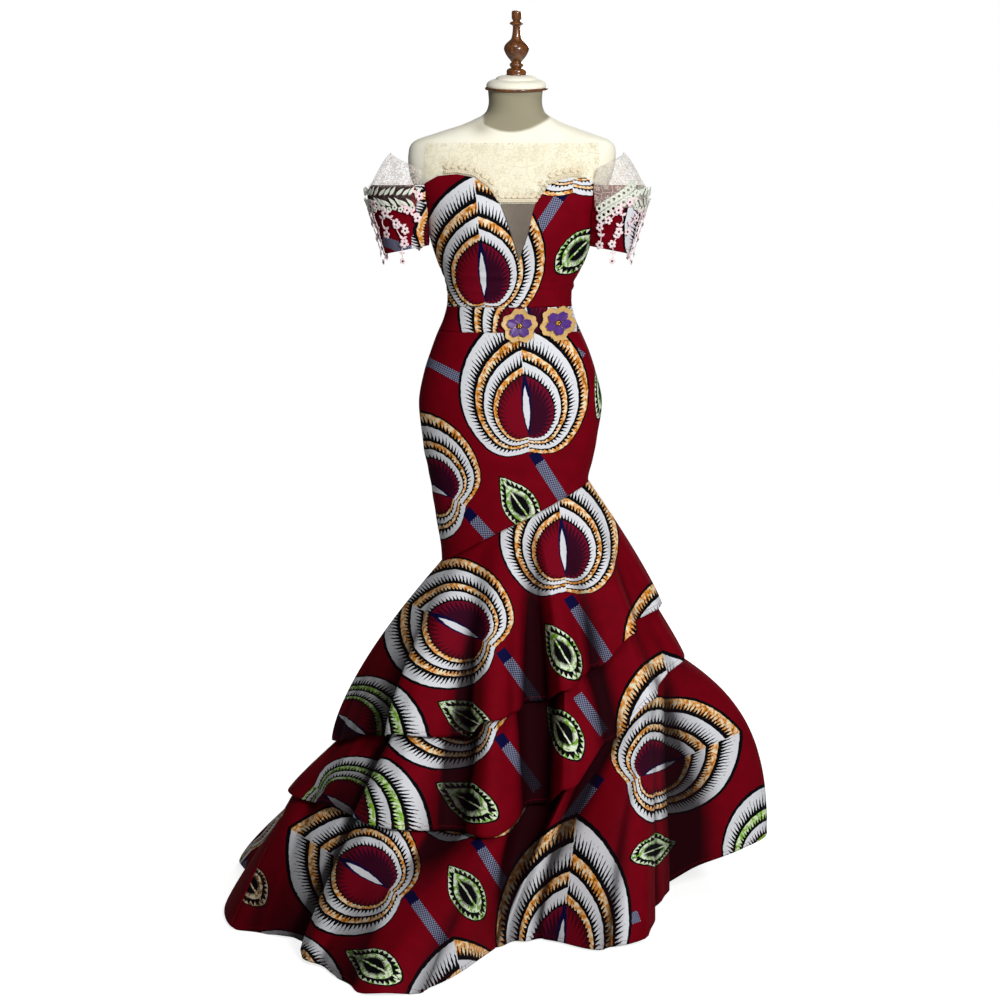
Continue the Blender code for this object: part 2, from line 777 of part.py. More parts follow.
def make_belt_flower(flower, petals, collection):
    """One ring of petals, laid on the waistband's own points and moved out."""
    grid = []
    for share in PETAL_SHARES:
        row = []
        for column in range(PETAL_COLUMNS):
            turn = 2 * math.pi * column / PETAL_COLUMNS
            lobe = abs(math.cos(PETAL_COUNT * (turn - flower.turn) / 2)) ** 0.7
            radius = petals.radius * share * (1 - PETAL_NOTCH * (1 - lobe) * share)
            lift = petals.lift + petals.curl * (radius / petals.radius) ** 2
            row.append(front_point(
                flower.across + radius * math.cos(turn), flower.height + radius * math.sin(turn), lift))
        grid.append(row)
    name = f"belt_flower_{flower.name}_{petals.colour}"
    finish = GOLD_CLOTH if petals.colour == "gold" else PURPLE_CLOTH
    add_wall(name, Cloth(grid, True), PRINT_WALL, finish, collection)


# The dress form

def make_form_torso(collection):
    """The padded torso with its neck, one closed solid inside the cloth."""
    heights = [row.height for row in BODY if FORM_BOTTOM < row.height < NECK_TOP]
    heights += [(upper.height + lower.height) / 2 for upper, lower in zip(BODY, BODY[1:])
                if BAND_TOP < lower.height and upper.height < BUST_TOP]
    heights = [NECK_TOP] + sorted(heights, reverse=True) + [FORM_BOTTOM]
    build = bmesh.new()
    rings = []
    for height in heights:
        inset = FORM_CLEARANCE if height > BAND_TOP else FORM_HIP_CLEARANCE
        lean = min(max((height - NECK_START) / (NECK_TOP - NECK_START), 0.0), 1.0)
        ring = []
        for column in range(FORM_COLUMNS):
            point = body_point(2 * math.pi * column / FORM_COLUMNS, height, -inset)
            point.z += point.y * math.tan(NECK_TILT) * lean
            ring.append(build.verts.new(point))
        rings.append(ring)
    for upper, lower in zip(rings, rings[1:]):
        for column in range(FORM_COLUMNS):
            following = (column + 1) % FORM_COLUMNS
            build.faces.new([upper[column], lower[column], lower[following]])
            build.faces.new([upper[column], lower[following], upper[following]])
    build.faces.new(rings[0])
    build.faces.new(rings[-1])
    add_object("form_torso", mesh_from("form_torso", build), FORM_CLOTH, collection)


def make_turned(name, profile, place, tilt, segments, finish, collection):
    """A turned piece: its profile is radius and height, from the top of its axis down to the bottom."""
    mesh = bpy.data.meshes.new(name)
    edges = [(index, index + 1) for index in range(len(profile) - 1)]
    mesh.from_pydata([(radius, 0.0, height) for radius, height in profile], edges, [])
    thing = add_object(name, mesh, finish, collection)
    thing.matrix_world = Matrix.Translation(place) @ Matrix.Rotation(tilt, 4, "X")
    screw = thing.modifiers.new("Turning", "SCREW")
    screw.steps = segments
    screw.render_steps = segments
    screw.use_merge_vertices = True
    screw.merge_threshold = 0.00001
    screw.use_smooth_shade = True


CAP_PROFILE = [
    (0.0, 0.0260), (0.0200, 0.0255), (0.0370, 0.0215), (0.0400, 0.0175), (0.0500, 0.0150),
    (0.0560, 0.0100), (0.0575, 0.0050), (0.0560, 0.0), (0.0, 0.0),
]
FINIAL_PROFILE = [
    (0.0, 0.1180), (0.0060, 0.1160), (0.0095, 0.1100), (0.0090, 0.1040), (0.0060, 0.0985),
    (0.0130, 0.0955), (0.0130, 0.0930), (0.0075, 0.0900), (0.0085, 0.0680), (0.0140, 0.0610),
    (0.0235, 0.0500), (0.0230, 0.0440), (0.0160, 0.0320), (0.0095, 0.0230), (0.0130, 0.0200),
    (0.0130, 0.0150), (0.0100, 0.0120), (0.0185, 0.0080), (0.0185, 0.0), (0.0, 0.0),
]


def make_neck_fittings(collection):
    """The neck's cap and the turned finial on it, both square to the slanted neck."""
    seat = Vector((NECK_SHIFT, 0.0, NECK_TOP + SEAM_GAP))
    make_turned("form_neck_cap", CAP_PROFILE, seat, NECK_TILT, 24, FORM_CLOTH, collection)
    up = Matrix.Rotation(NECK_TILT, 3, "X") @ Vector((0, 0, CAP_PROFILE[0][1] + SEAM_GAP))
    make_turned("form_finial", FINIAL_PROFILE, seat + up, NECK_TILT, 16, DARK_WOOD, collection)


def make_stand(collection):
    """The pole under the torso and the round base on the floor."""
    hub_top = BASE_THICKNESS + HUB_HEIGHT
    base = [
        (0.0, hub_top), (HUB_RADIUS * 0.8, hub_top), (HUB_RADIUS, hub_top - 0.006),
        (HUB_RADIUS * 1.3, BASE_THICKNESS), (BASE_RADIUS - 0.006, BASE_THICKNESS),
        (BASE_RADIUS, BASE_THICKNESS * 0.5), (BASE_RADIUS, 0.0), (0.0, 0.0),
    ]
    make_turned("form_base", base, Vector(), 0.0, 28, STEEL, collection)
    top, bottom = FORM_BOTTOM - SEAM_GAP, hub_top + SEAM_GAP
    pole = [(0.0, top), (POLE_RADIUS, top), (POLE_RADIUS, bottom), (0.0, bottom)]
    make_turned("form_pole", pole, Vector(), 0.0, 16, STEEL, collection)


def main():
    """Clears the scene and builds every piece."""
    for thing in list(bpy.data.objects):
        bpy.data.objects.remove(thing)
    collection = bpy.data.collections.new(OBJECT_NAME)
    bpy.context.scene.collection.children.link(collection)
    make_form_torso(collection)
    make_neck_fittings(collection)
    make_stand(collection)
    make_bodice(collection)
    make_neck_inset(collection)
    make_yoke(collection)
    make_waistband(collection)
    make_skirt(collection)
    make_tiers(collection)
    for side in ("left", "right"):
        make_sleeve(side, collection)
        make_lace_cap(side, collection)
        make_chains(side, collection)
    for flower in BELT_FLOWERS:
        for petals in PETAL_RINGS:
            make_belt_flower(flower, petals, collection)


main()
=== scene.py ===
"""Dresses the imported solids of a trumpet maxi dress, worn by a limbless dress form on its stand.

Metres, +Z up, and the front of the dress faces -Y. Left and right are as seen from the front. Angles go
round the dress from +X through +Y in degrees, so the front is at 270 and the side seams at 180 and 360.
"""

from __future__ import annotations

import logging
import math
from dataclasses import KW_ONLY, dataclass, field, replace
from enum import Enum
from functools import cached_property

import bpy
import numpy as np
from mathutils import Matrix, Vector

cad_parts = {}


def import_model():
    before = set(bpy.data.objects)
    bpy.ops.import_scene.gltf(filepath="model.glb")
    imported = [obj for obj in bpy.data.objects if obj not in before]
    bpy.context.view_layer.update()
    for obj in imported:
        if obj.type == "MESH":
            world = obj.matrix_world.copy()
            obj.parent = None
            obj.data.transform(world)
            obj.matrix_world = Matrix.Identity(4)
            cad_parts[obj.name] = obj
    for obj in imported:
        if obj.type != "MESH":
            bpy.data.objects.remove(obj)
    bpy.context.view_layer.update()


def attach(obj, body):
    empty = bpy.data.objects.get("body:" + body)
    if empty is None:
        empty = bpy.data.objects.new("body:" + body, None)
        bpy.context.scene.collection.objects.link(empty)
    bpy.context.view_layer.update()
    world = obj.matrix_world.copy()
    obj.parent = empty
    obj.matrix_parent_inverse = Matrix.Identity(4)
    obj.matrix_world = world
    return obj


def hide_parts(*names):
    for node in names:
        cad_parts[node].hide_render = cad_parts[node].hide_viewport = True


LOG = logging.getLogger("dress")
TORSO = "jersey_form_torso"
MM = 1000.0
FULL_TURN = 2 * math.pi
SEAM_GAP = 0.0003
COTTON_WALL = 0.0014
NET_WALL = 0.0008
HEM_WALLS = 1.7
FAR_OUT = 9999.0
FRONT_EYE = (-0.021, -4.5, 1.35)

Array = np.ndarray
Socket = bpy.types.NodeSocket


def linear(code: str) -> tuple[float, float, float, float]:
    """Turns an sRGB hex colour to linear values.

    Args:
        code: the colour as #RRGGBB.

    Returns:
        Red, green, blue and an alpha of 1.
    """
    parts = [int(code[start:start + 2], 16) / 255 for start in (1, 3, 5)]
    steps = [part / 12.92 if part <= 0.04045 else ((part + 0.055) / 1.055) ** 2.4 for part in parts]
    return (*steps, 1.0)


class Graph:
    """The node tree of a material or of the world."""

    def __init__(self, owner: bpy.types.ID) -> None:
        """Starts with an empty tree.

        Args:
            owner: the material or the world.
        """
        self.owner = owner
        owner.use_nodes = True
        owner.node_tree.nodes.clear()

    def add(self, kind: str, *values: object, out: str = "", at: dict[str, object] | None = None,
            **settings: object) -> Socket | None:
        """Adds a node with its settings and links.

        Args:
            kind: the shader node's kind, with its operation, or a Mix's data type, after a dot.
            values: numbers, hex colours or sockets for its first inputs.
            out: name of the output to hand back, if it isn't the first.
            at: values for inputs by their names.
            settings: the node's own settings.

        Returns:
            The chosen output, if the node has one.
        """
        kind, _, mode = kind.partition(".")
        tree = self.owner.node_tree
        node = tree.nodes.new("ShaderNode" + kind)
        if mode:
            settings["data_type" if kind == "Mix" else "operation"] = mode
        for name, value in settings.items():
            setattr(node, name, value)
        inputs = [socket for socket in node.inputs if socket.enabled]
        named = [(node.inputs[name], value) for name, value in (at or {}).items()]
        for socket, value in [*zip(inputs, values), *named]:
            if isinstance(value, Socket):
                tree.links.new(value, socket)
            else:
                socket.default_value = linear(value) if isinstance(value, str) else value
        return next((socket for socket in node.outputs if socket.enabled and out in ("", socket.name)), None)


def shape_curve(socket: Socket, points: list[tuple[float, float]]) -> Socket:
    """Sets the points of a Float Curve node.

    Args:
        socket: the node's output.
        points: points from 0 to 1.

    Returns:
        The output.
    """
    curve = socket.node.mapping.curves[0]
    curve.points[0].location, curve.points[1].location = points[0], points[-1]
    for point in points[1:-1]:
        curve.points.new(*point)
    socket.node.mapping.update()
    return socket


def smooth_step(start: Array, end: Array, leave: Array, arrive: Array, share: Array) -> Array:
    """Eases from one value to another.

    Args:
        start: value at share 0.
        end: value at share 1.
        leave: slope at the start, over the whole step.
        arrive: slope at the end, over the whole step.
        share: how far along the step.

    Returns:
        The value there.
    """
    return (start * (1 + 2 * share) * (1 - share) ** 2 + end * share ** 2 * (3 - 2 * share)
            + leave * share * (1 - share) ** 2 - arrive * share ** 2 * (1 - share))


def unit(vectors: Array) -> Array:
    """Vectors made one long."""
    return vectors / np.maximum(np.linalg.norm(vectors, axis=-1, keepdims=True), 1e-12)


def leaned(right: Array, up: Array, angle: float) -> tuple[Array, Array]:
    """Two directions turned in their own plane by an angle in radians."""
    cos, sin = math.cos(angle), math.sin(angle)
    return cos * right + sin * up, cos * up - sin * right


def ring_turns(count: int) -> Array:
    """Even turns round a ring, in radians."""
    return np.arange(count) * FULL_TURN / count


# The print's motifs: outlines as turns from the tip in degrees, and reaches in millimetres

POD_OUTLINE = ((0, 97), (10, 91), (21, 84.5), (35, 76.5), (50, 67.5), (63, 60), (76, 53), (90, 46.4), (105, 41),
               (120, 37), (135, 32.8), (150, 28), (165, 24), (180, 22))
LEAF_OUTLINE = ((0, 64), (12, 51), (25, 42), (45, 35.5), (70, 32), (90, 31.5), (120, 35), (150, 45),
                (165, 52), (180, 58))
ORANGE_SHARE = 0.78
POD_STEP = 0.216
POD_BANDS = 4
CURVE_POINTS = 31
CURVE_MM = 120.0


def outline_reach(outline: tuple, turns: Array) -> Array:
    """How far an outline is from its middle.

    Args:
        outline: the motif's outline.
        turns: turns from its tip in radians.

    Returns:
        Millimetres at each turn.
    """
    angles, reaches = np.array(outline, float).T
    slopes = np.gradient(reaches, angles)
    slopes[-1] = 0.0
    asked = np.degrees(turns)
    index = np.clip(np.searchsorted(angles, asked, side="right") - 1, 0, len(angles) - 2)
    span = angles[index + 1] - angles[index]
    return smooth_step(reaches[index], reaches[index + 1], slopes[index] * span, slopes[index + 1] * span,
                       (asked - angles[index]) / span)


def outline_curve(outline: tuple) -> list[tuple[float, float]]:
    """The outline as points of a Float Curve: its reach over CURVE_MM against shares of a half turn."""
    return [(share, float(outline_reach(outline, np.array(share * math.pi))) / CURVE_MM)
            for share in np.linspace(0, 1, CURVE_POINTS)]


def even_lengths(outline: tuple, count: int) -> list[tuple[float, float]]:
    """Shares of the outline's length at even turns, so that teeth along it are evenly spaced.

    Args:
        outline: the motif's outline.
        count: number of points.

    Returns:
        Points of a Float Curve.
    """
    turns = np.linspace(0, math.pi, 181)
    reach = outline_reach(outline, turns)
    steps = np.hypot(np.diff(reach * np.sin(turns)), np.diff(reach * np.cos(turns)))
    lengths = np.concatenate([[0], np.cumsum(steps)]) / steps.sum()
    return [(share, float(np.interp(share * math.pi, turns, lengths))) for share in np.linspace(0, 1, count)]


class Dye(Enum):
    """The dye of a motif's coloured parts, with the value that its shader reads."""

    ORANGE = 0.0
    GREEN = 1.0


@dataclass(frozen=True)
class Motif:
    """A motif of the print: where it lies, how far it is turned and which of its points lies there."""

    angle: float
    height: float
    turn: float = 0.0
    _: KW_ONLY
    at: tuple[float, float] = (0.0, 0.0)
    size: float = 1.0
    stretch: float = 1.0
    mirrored: bool = False
    by_share: bool = False
    to_front: bool = True

    upright = 0.0
    limit = 1.25


@dataclass(frozen=True)
class Outlined(Motif):
    """A motif in one of two dyes, with an outline that bands may repeat round it."""

    dye: Dye = Dye.ORANGE

    def extra(self) -> float:
        """The third value that its shader reads: its dye."""
        return self.dye.value

    def level(self, x: Array, y: Array) -> Array:
        """Distance of local points from the motif's middle, as a share of its outermost edge's."""
        reach = outline_reach(self.outline, np.arctan2(np.abs(x), y))
        return np.hypot(x, y) / reach / math.exp(POD_STEP * self.bands)


@dataclass(frozen=True)
class Pod(Outlined):
    """A seed pod of toothed bands round a dark core."""

    attribute, outline, bands = "pod_place", POD_OUTLINE, POD_BANDS


@dataclass(frozen=True)
class Leaf(Outlined):
    """A pointed leaf with a toothed border."""

    dye: Dye = Dye.GREEN

    attribute, outline, bands = "leaf_place", LEAF_OUTLINE, 0


@dataclass(frozen=True)
class Bar(Motif):
    """A dotted bar from its start: turn 0 runs straight down, and a positive turn down to the right."""

    length: float = 80.0
    solid: float = 23.0

    attribute, upright, limit, half = "bar_place", 180.0, 1.6, 11.0

    def extra(self) -> float:
        """The third value that its shader reads: how much of its start is plain navy."""
        return self.solid

    def level(self, x: Array, y: Array) -> Array:
        """Distance of local points outside the bar's rectangle, over its half width."""
        return np.maximum(np.abs(x) / self.half, np.abs(y - self.length / 2) / (self.length / 2))


def freely(*motifs: Motif) -> list[Motif]:
    """Motifs that the photo doesn't show, whose height is a share of the way down the piece."""
    return [replace(motif, by_share=True, to_front=False) for motif in motifs]


# On the sleeves the angle is the turn from the sleeve's outer side, towards the back where it is positive.
MOTIFS: dict[str, list[Motif]] = {
    "bodice_front": [
        Pod(238.3, 1.193, 4.5, size=0.95), Pod(325.5, 1.369, at=(0, -61), mirrored=True),
        Leaf(334.6, 1.271, -45.7), Bar(321.6, 1.386, -34, 84), Bar(205.0, 1.255, 25, 60, 0, to_front=False),
    ],
    "waistband_front": [Pod(285.5, 1.137, 3, at=(-3, 45))],
    "skirt_front": [
        Pod(284.5, 0.945, 4.6, size=0.97), Pod(203.9, 0.807, 63), Leaf(280.5, 0.793, 35),
        Leaf(356.0, 1.003, -25, to_front=False), Bar(290.5, 0.892, 33, 120), Bar(225.1, 0.780, 42, 66),
        Bar(185.1, 1.059, 62, 62, 0), Bar(341.0, 1.082, -38, 62, 0),
    ],
    "flounce_1_front": [
        Pod(302.5, 0.686, 4.6, size=0.94), Pod(249.5, 0.555, 63),
        Pod(233.4, 0.439, -120, at=(-104, 132), dye=Dye.GREEN),
        Pod(320.3, 0.586, 11, at=(107, 137), mirrored=True), Leaf(289.9, 0.543, 31),
        Leaf(251.2, 0.413, 61.6), Bar(299.3, 0.633, 33, 112), Bar(265.0, 0.540, 36, 100),
    ],
    "flounce_2_front": [
        Pod(255.5, 0.343, 63, at=(-68.6, -35)), Pod(229.5, 0.301, -120, at=(-79, 81), dye=Dye.GREEN),
        Pod(311.9, 0.436, 11, at=(107, 137), mirrored=True), Leaf(288.0, 0.399, 32),
        Leaf(255.0, 0.270, 61, size=1.08), Bar(265.5, 0.393, 36, 100), Bar(295.6, 0.460, 36, 66, 0),
    ],
    "flounce_3_front": [
        Pod(319.7, 0.305, -65, mirrored=True),
        Pod(289.4, 0.081, -7, at=(0, 104), stretch=1.28, size=0.97, mirrored=True),
        Pod(238.1, 0.141, 58), Pod(220.7, 0.023, -120, at=(-118, 56)),
        Pod(0.9, 0.125, -20, at=(-120, 54), dye=Dye.GREEN), Pod(257.7, 0.072, 12, at=(0, 232)),
        Pod(256.8, 0.212, 4.6, at=(0, -46)), Leaf(324.0, 0.150, -68), Leaf(259.3, 0.136, 33.5),
        Leaf(245.5, 0.040, 62), Leaf(197.6, 0.072, 60, dye=Dye.ORANGE, to_front=False),
        Bar(304.1, 0.307, -36, 82), Bar(245.7, 0.131, 36, 110), Bar(258.4, 0.207, 33, 112),
        Bar(307.3, 0.056, -70, 60, 0),
    ],
    "bodice_back_right": freely(Pod(40, 0.62, -12), Leaf(72, 0.32, 40), Bar(60, 0.55, 35, 90)),
    "bodice_back_left": freely(Pod(128, 0.50, 8), Leaf(166, 0.45, -35), Bar(104, 0.10, -33, 90)),
    "waistband_back": freely(Pod(52, 0.4, at=(0, 60)), Pod(140, 0.5, 8, at=(10, -20))),
    "skirt_back_right": freely(
        Pod(56, 0.30, 6, size=0.95), Leaf(20, 0.80, -30), Leaf(70, 0.88, 38), Bar(54, 0.50, 34, 110)),
    "skirt_back_left": freely(
        Pod(126, 0.74, 58, size=0.95), Leaf(116, 0.20, -36), Leaf(164, 0.86, 40), Bar(146, 0.16, 35, 100)),
    "flounce_1_back": freely(
        Pod(16, 0.62, -62, mirrored=True), Pod(76, 0.50, 6), Pod(130, 0.62, 58), Leaf(46, 0.50, -50),
        Leaf(104, 0.80, 38), Leaf(158, 0.36, 56), Bar(80, 0.72, 34, 100)),
    "flounce_2_back": freely(
        Pod(30, 0.75, 4), Pod(82, 0.82, -66, mirrored=True), Pod(130, 0.80, 60),
        Pod(172, 0.80, -120, dye=Dye.GREEN), Leaf(56, 0.70, 36), Leaf(108, 0.72, 58), Bar(34, 0.86, 33, 90)),
    "flounce_3_back": freely(
        Pod(22, 0.56, -64, mirrored=True), Pod(48, 0.86, 8, dye=Dye.GREEN), Pod(74, 0.54, 60),
        Pod(104, 0.84, -8, mirrored=True), Pod(128, 0.52, -64, mirrored=True), Pod(156, 0.80, 62),
        Pod(176, 0.46, 4), Pod(96, 0.40, 60, dye=Dye.GREEN), Leaf(36, 0.42, -50), Leaf(62, 0.92, 44),
        Leaf(88, 0.88, 36), Leaf(118, 0.93, -58), Leaf(142, 0.44, 36), Bar(78, 0.66, 35, 110),
        Bar(130, 0.64, -33, 100), Bar(158, 0.90, 35, 110)),
    "sleeve_left": [
        Pod(-146, 0.43, 4.5, at=(-104, 160), size=0.95, by_share=True), Bar(-25, 0.79, 68, 60, 0, by_share=True),
        *freely(Leaf(60, 0.55, 30), Pod(130, 0.3, 50, at=(60, 40))),
    ],
    "sleeve_right": [
        Pod(-45, 0.79, at=(-116, 54), by_share=True), *freely(Leaf(80, 0.50, -30), Bar(150, 0.2, 35, 80)),
    ],
}


# Finishes

@dataclass(frozen=True)
class OnMotif:
    """Sockets that say where a point lies on an outlined motif."""

    dye: Socket
    x: Socket
    y: Socket
    across: Socket
    turn: Socket
    level: Socket
    length: Socket


class WaxPrintCotton:
    """Wax-resist printed plain-weave cotton: a matt, close cloth with crisp hand-drawn motifs."""

    GROUND, DEEP_GROUND, SHADE = "#730012", "#66000E", "#0C0004"
    WHITE, CREAM, BLACK = "#DCDDE2", "#EEDFBC", "#07060A"
    ORANGE, BROWN, LIME, PALE_LIME = "#DB8A28", "#8E5A26", "#7FB42C", "#E0ECC8"
    LEAF, PALE_LEAF, NAVY, DOTS = "#74A632", "#DCE6CC", "#0A0A38", "#8C8FA6"
    CORE_RED, CORE_DARK, PLUM, PLUM_RED = "#74051A", "#3A0614", "#34061E", "#700A26"
    BAR_HALF_MM = 10.5
    DOT_MM = (5.2, 4.6)
    THREAD_MM = 1.4
    STITCH_MM = 4.5
    STITCH_LINE_MM = 8.0

    def __init__(self) -> None:
        """Starts the graph with the unevenness that every motif shares."""
        self.graph = Graph(bpy.data.materials.new("wax_print_cotton"))
        add = self.graph.add
        self.spot = add("TexCoord", out="Object")
        # The wax edge wanders by about a millimetre.
        wander = add("VectorMath.SUBTRACT", add("TexNoise", self.spot, 95.0, 1.0, out="Color"), (0.5, 0.5, 0.5))
        self.wander = add("VectorMath.MULTIPLY", wander, (3.0, 3.0, 0.0))
        # Dye takes unevenly: flecks of about 6 mm in the bands.
        self.fleck = add("TexNoise", self.spot, 120.0, 3.0, 0.6)

    def build(self) -> bpy.types.Material:
        """Draws the ground, the bars, the leaves and the pods, one over the other.

        Returns:
            The material.
        """
        add = self.graph.add
        # Clouds of about 25 mm in the ground.
        cloud = add("MapRange", add("TexNoise", self.spot, 40.0, 3.0), 0.35, 0.75, 0.0, 0.8)
        colour = self.bars(add("Mix.RGBA", cloud, self.GROUND, self.DEEP_GROUND))
        self.weave(self.pods(self.leaves(colour)))
        return self.graph.owner

    def bars(self, below: Socket) -> Socket:
        """Draws the navy bars with their staggered rows of pale dots, 2.6 mm apart.

        Args:
            below: colour under the bars.

        Returns:
            The colour with the bars on it.
        """
        add = self.graph.add
        x, y, solid = add("SeparateXYZ", add("Attribute", attribute_name="bar_place", out="Vector")).node.outputs
        inside = add("Math.LESS_THAN", add("Math.ABSOLUTE", x), self.BAR_HALF_MM)
        inside = add("Math.MULTIPLY", inside, add("Math.GREATER_THAN", y, 0.0))
        waves = [add("Math.SINE", add("Math.MULTIPLY", way, FULL_TURN / pitch))
                 for way, pitch in zip((x, y), self.DOT_MM)]
        dotted = add("Math.GREATER_THAN", add("Math.MULTIPLY", *waves), 0.02)
        dotted = add("Math.MULTIPLY", dotted, add("Math.GREATER_THAN", y, solid))
        return add("Mix.RGBA", inside, below, add("Mix.RGBA", dotted, self.NAVY, self.DOTS))

    def measure(self, kind: type[Outlined], count: int) -> OnMotif:
        """Finds where each point lies on the nearest motif of a kind.

        Args:
            kind: the motif's kind.
            count: points of the curve of its outline's length.

        Returns:
            The sockets.
        """
        add = self.graph.add
        place = add("Attribute", attribute_name=kind.attribute, out="Vector")
        dye = add("SeparateXYZ", place, out="Z")
        place = add("VectorMath.ADD", add("VectorMath.MULTIPLY", place, (1.0, 1.0, 0.0)), self.wander)
        x, y, _ = add("SeparateXYZ", place).node.outputs
        across = add("Math.ABSOLUTE", x)
        turn = add("Math.DIVIDE", add("Math.ARCTAN2", across, y), math.pi)
        reach = shape_curve(add("FloatCurve", 1.0, turn), outline_curve(kind.outline))
        level = add("Math.DIVIDE", add("VectorMath.LENGTH", place), add("Math.MULTIPLY", reach, CURVE_MM))
        length = shape_curve(add("FloatCurve", 1.0, turn), even_lengths(kind.outline, count))
        return OnMotif(dye, x, y, across, turn, level, length)

    def leaves(self, below: Socket) -> Socket:
        """Draws the leaves: a border of pale triangles, a pale almond and a dark eye with a midrib.

        Args:
            below: colour under the leaves.

        Returns:
            The colour with the leaves on it.
        """
        add = self.graph.add
        on = self.measure(Leaf, 9)
        # Triangles of the border point inward from its edge.
        wave = add("Math.PINGPONG", add("Math.MULTIPLY", on.length, 26.0), 1.0)
        depth = add("Math.MULTIPLY_ADD", wave, -0.18, 0.98)
        triangle = add("Math.MULTIPLY", add("Math.GREATER_THAN", on.level, depth),
                       add("Math.LESS_THAN", on.level, 0.985))
        fringe = add("Math.PINGPONG", add("Math.MULTIPLY", on.length, 60.0), 1.0)
        inner = add("Math.MULTIPLY_ADD", fringe, 0.16, 0.42)
        almond = add("Math.MULTIPLY", add("Math.GREATER_THAN", on.level, inner),
                     add("Math.LESS_THAN", on.level, 0.70))
        rib = add("Math.MULTIPLY", add("Math.LESS_THAN", on.across, 1.5), add("Math.LESS_THAN", on.level, 0.88))
        light = add("Math.MAXIMUM", add("Math.MAXIMUM", triangle, almond), rib)
        bright = add("Mix.RGBA", on.dye, self.BROWN, self.LEAF)
        pale = add("Mix.RGBA", on.dye, self.CREAM, self.PALE_LEAF)
        paint = add("Mix.RGBA", add("MapRange", self.fleck, 0.49, 0.56), pale, bright)
        paint = add("Mix.RGBA", light, self.BLACK, paint)
        return add("Mix.RGBA", add("Math.LESS_THAN", on.level, 1.05), below, paint)

    def pods(self, below: Socket) -> Socket:
        """Draws the pods: four toothed bands round a core, each a fifth larger than the one inside it.

        Args:
            below: colour under the pods.

        Returns:
            The colour with the pods on it.
        """
        add = self.graph.add
        on = self.measure(Pod, 13)
        ring = add("Math.LOGARITHM", on.level, math.exp(POD_STEP))
        # Bands come in pairs, and the white one of a pair is the wider.
        pair = add("Math.FLOOR", add("Math.MULTIPLY", ring, 0.5))
        part = add("Math.MULTIPLY_ADD", pair, -2.0, ring)
        right = add("Math.GREATER_THAN", on.x, 0.0)
        split = add("Math.MULTIPLY_ADD", right, 2 - 2 * ORANGE_SHARE, ORANGE_SHARE)
        second = add("Math.GREATER_THAN", part, split)
        white = add("Math.ABSOLUTE", add("Math.SUBTRACT", second, right))
        width = add("Mix.FLOAT", second, split, add("Math.SUBTRACT", 2.0, split))
        part = add("Math.DIVIDE", add("Math.SUBTRACT", part, add("Math.MULTIPLY", second, split)), width)
        # Teeth stand about 6 mm apart on the innermost band and 7 mm on the outermost one.
        count = add("Math.MULTIPLY_ADD", add("Math.MULTIPLY_ADD", pair, 2.0, second), 7.0, 27.0)
        wave = add("Math.PINGPONG", add("Math.MULTIPLY", add("Math.MULTIPLY", on.length, count), 2.0), 1.0)
        height = add("Math.MULTIPLY", add("MapRange", on.turn, 0.62, 0.92, 0.56, 0.22),
                     add("Math.MULTIPLY_ADD", self.fleck, 1.6, 0.2))
        # Teeth on the core's own edge are short.
        height = add("Math.MULTIPLY", height, add("MapRange", ring, 0.0, 1.0, 0.45, 1.0))
        tooth = add("Math.MULTIPLY_ADD", add("Math.POWER", wave, 1.5), height, 0.12)
        black = add("Math.MAXIMUM", add("Math.LESS_THAN", part, tooth), add("Math.GREATER_THAN", part, 0.91))
        # Dye in the coloured bands is streaked from cream through orange to brown.
        bright = add("Mix.RGBA", on.dye, self.ORANGE, self.LIME)
        pale = add("Mix.RGBA", on.dye, self.CREAM, self.PALE_LIME)
        bright = add("Mix.RGBA", add("MapRange", self.fleck, 0.40, 0.56), pale, bright)
        streak = add("Math.MULTIPLY", add("Math.GREATER_THAN", self.fleck, 0.62),
                     add("Math.SUBTRACT", 0.8, on.dye))
        bright = add("Mix.RGBA", streak, bright, self.BROWN)
        paint = add("Mix.RGBA", black, add("Mix.RGBA", white, bright, self.WHITE), self.BLACK)
        paint = add("Mix.RGBA", add("Math.LESS_THAN", ring, 0.0), paint, self.core(on, right))
        paint = add("Mix.RGBA", add("Math.GREATER_THAN", ring, POD_BANDS - 0.02), paint, self.BLACK)
        return add("Mix.RGBA", add("Math.LESS_THAN", ring, POD_BANDS + 0.07), below, paint)

    def core(self, on: OnMotif, right: Socket) -> Socket:
        """Draws a pod's core: a red and a plum half, a navy lens on its axis and a white sliver in it.

        Args:
            on: place on the pod.
            right: 1 on the plum half.

        Returns:
            The core's colour.
        """
        add = self.graph.add
        # Short strokes run in from the edge: dark ones on the red half, reddish ones on the plum half.
        wave = add("Math.PINGPONG", add("Math.MULTIPLY", on.length, 36.0), 1.0)
        edge = add("Math.MULTIPLY_ADD", add("Math.POWER", wave, 0.6), 0.34, 0.66)
        stroke = add("Math.MULTIPLY", add("Math.GREATER_THAN", on.level, edge), 0.85)
        red = add("Mix.RGBA", stroke, self.CORE_RED, self.CORE_DARK)
        colour = add("Mix.RGBA", right, red, add("Mix.RGBA", stroke, self.PLUM, self.PLUM_RED))
        # Each lens has its middle, half length, half width and shift across, in millimetres.
        for middle, half, wide, shift, dye in ((42.0, 62.0, 9.5, 1.5, self.NAVY), (34.0, 43.0, 6.2, 1.0, self.WHITE)):
            along = add("Math.DIVIDE", add("Math.SUBTRACT", on.y, middle), half)
            lens = add("Math.MULTIPLY_ADD", add("Math.MULTIPLY", along, along), -wide, wide)
            inside = add("Math.LESS_THAN", add("Math.ABSOLUTE", add("Math.SUBTRACT", on.x, shift)), lens)
            colour = add("Mix.RGBA", inside, colour, dye)
        return colour

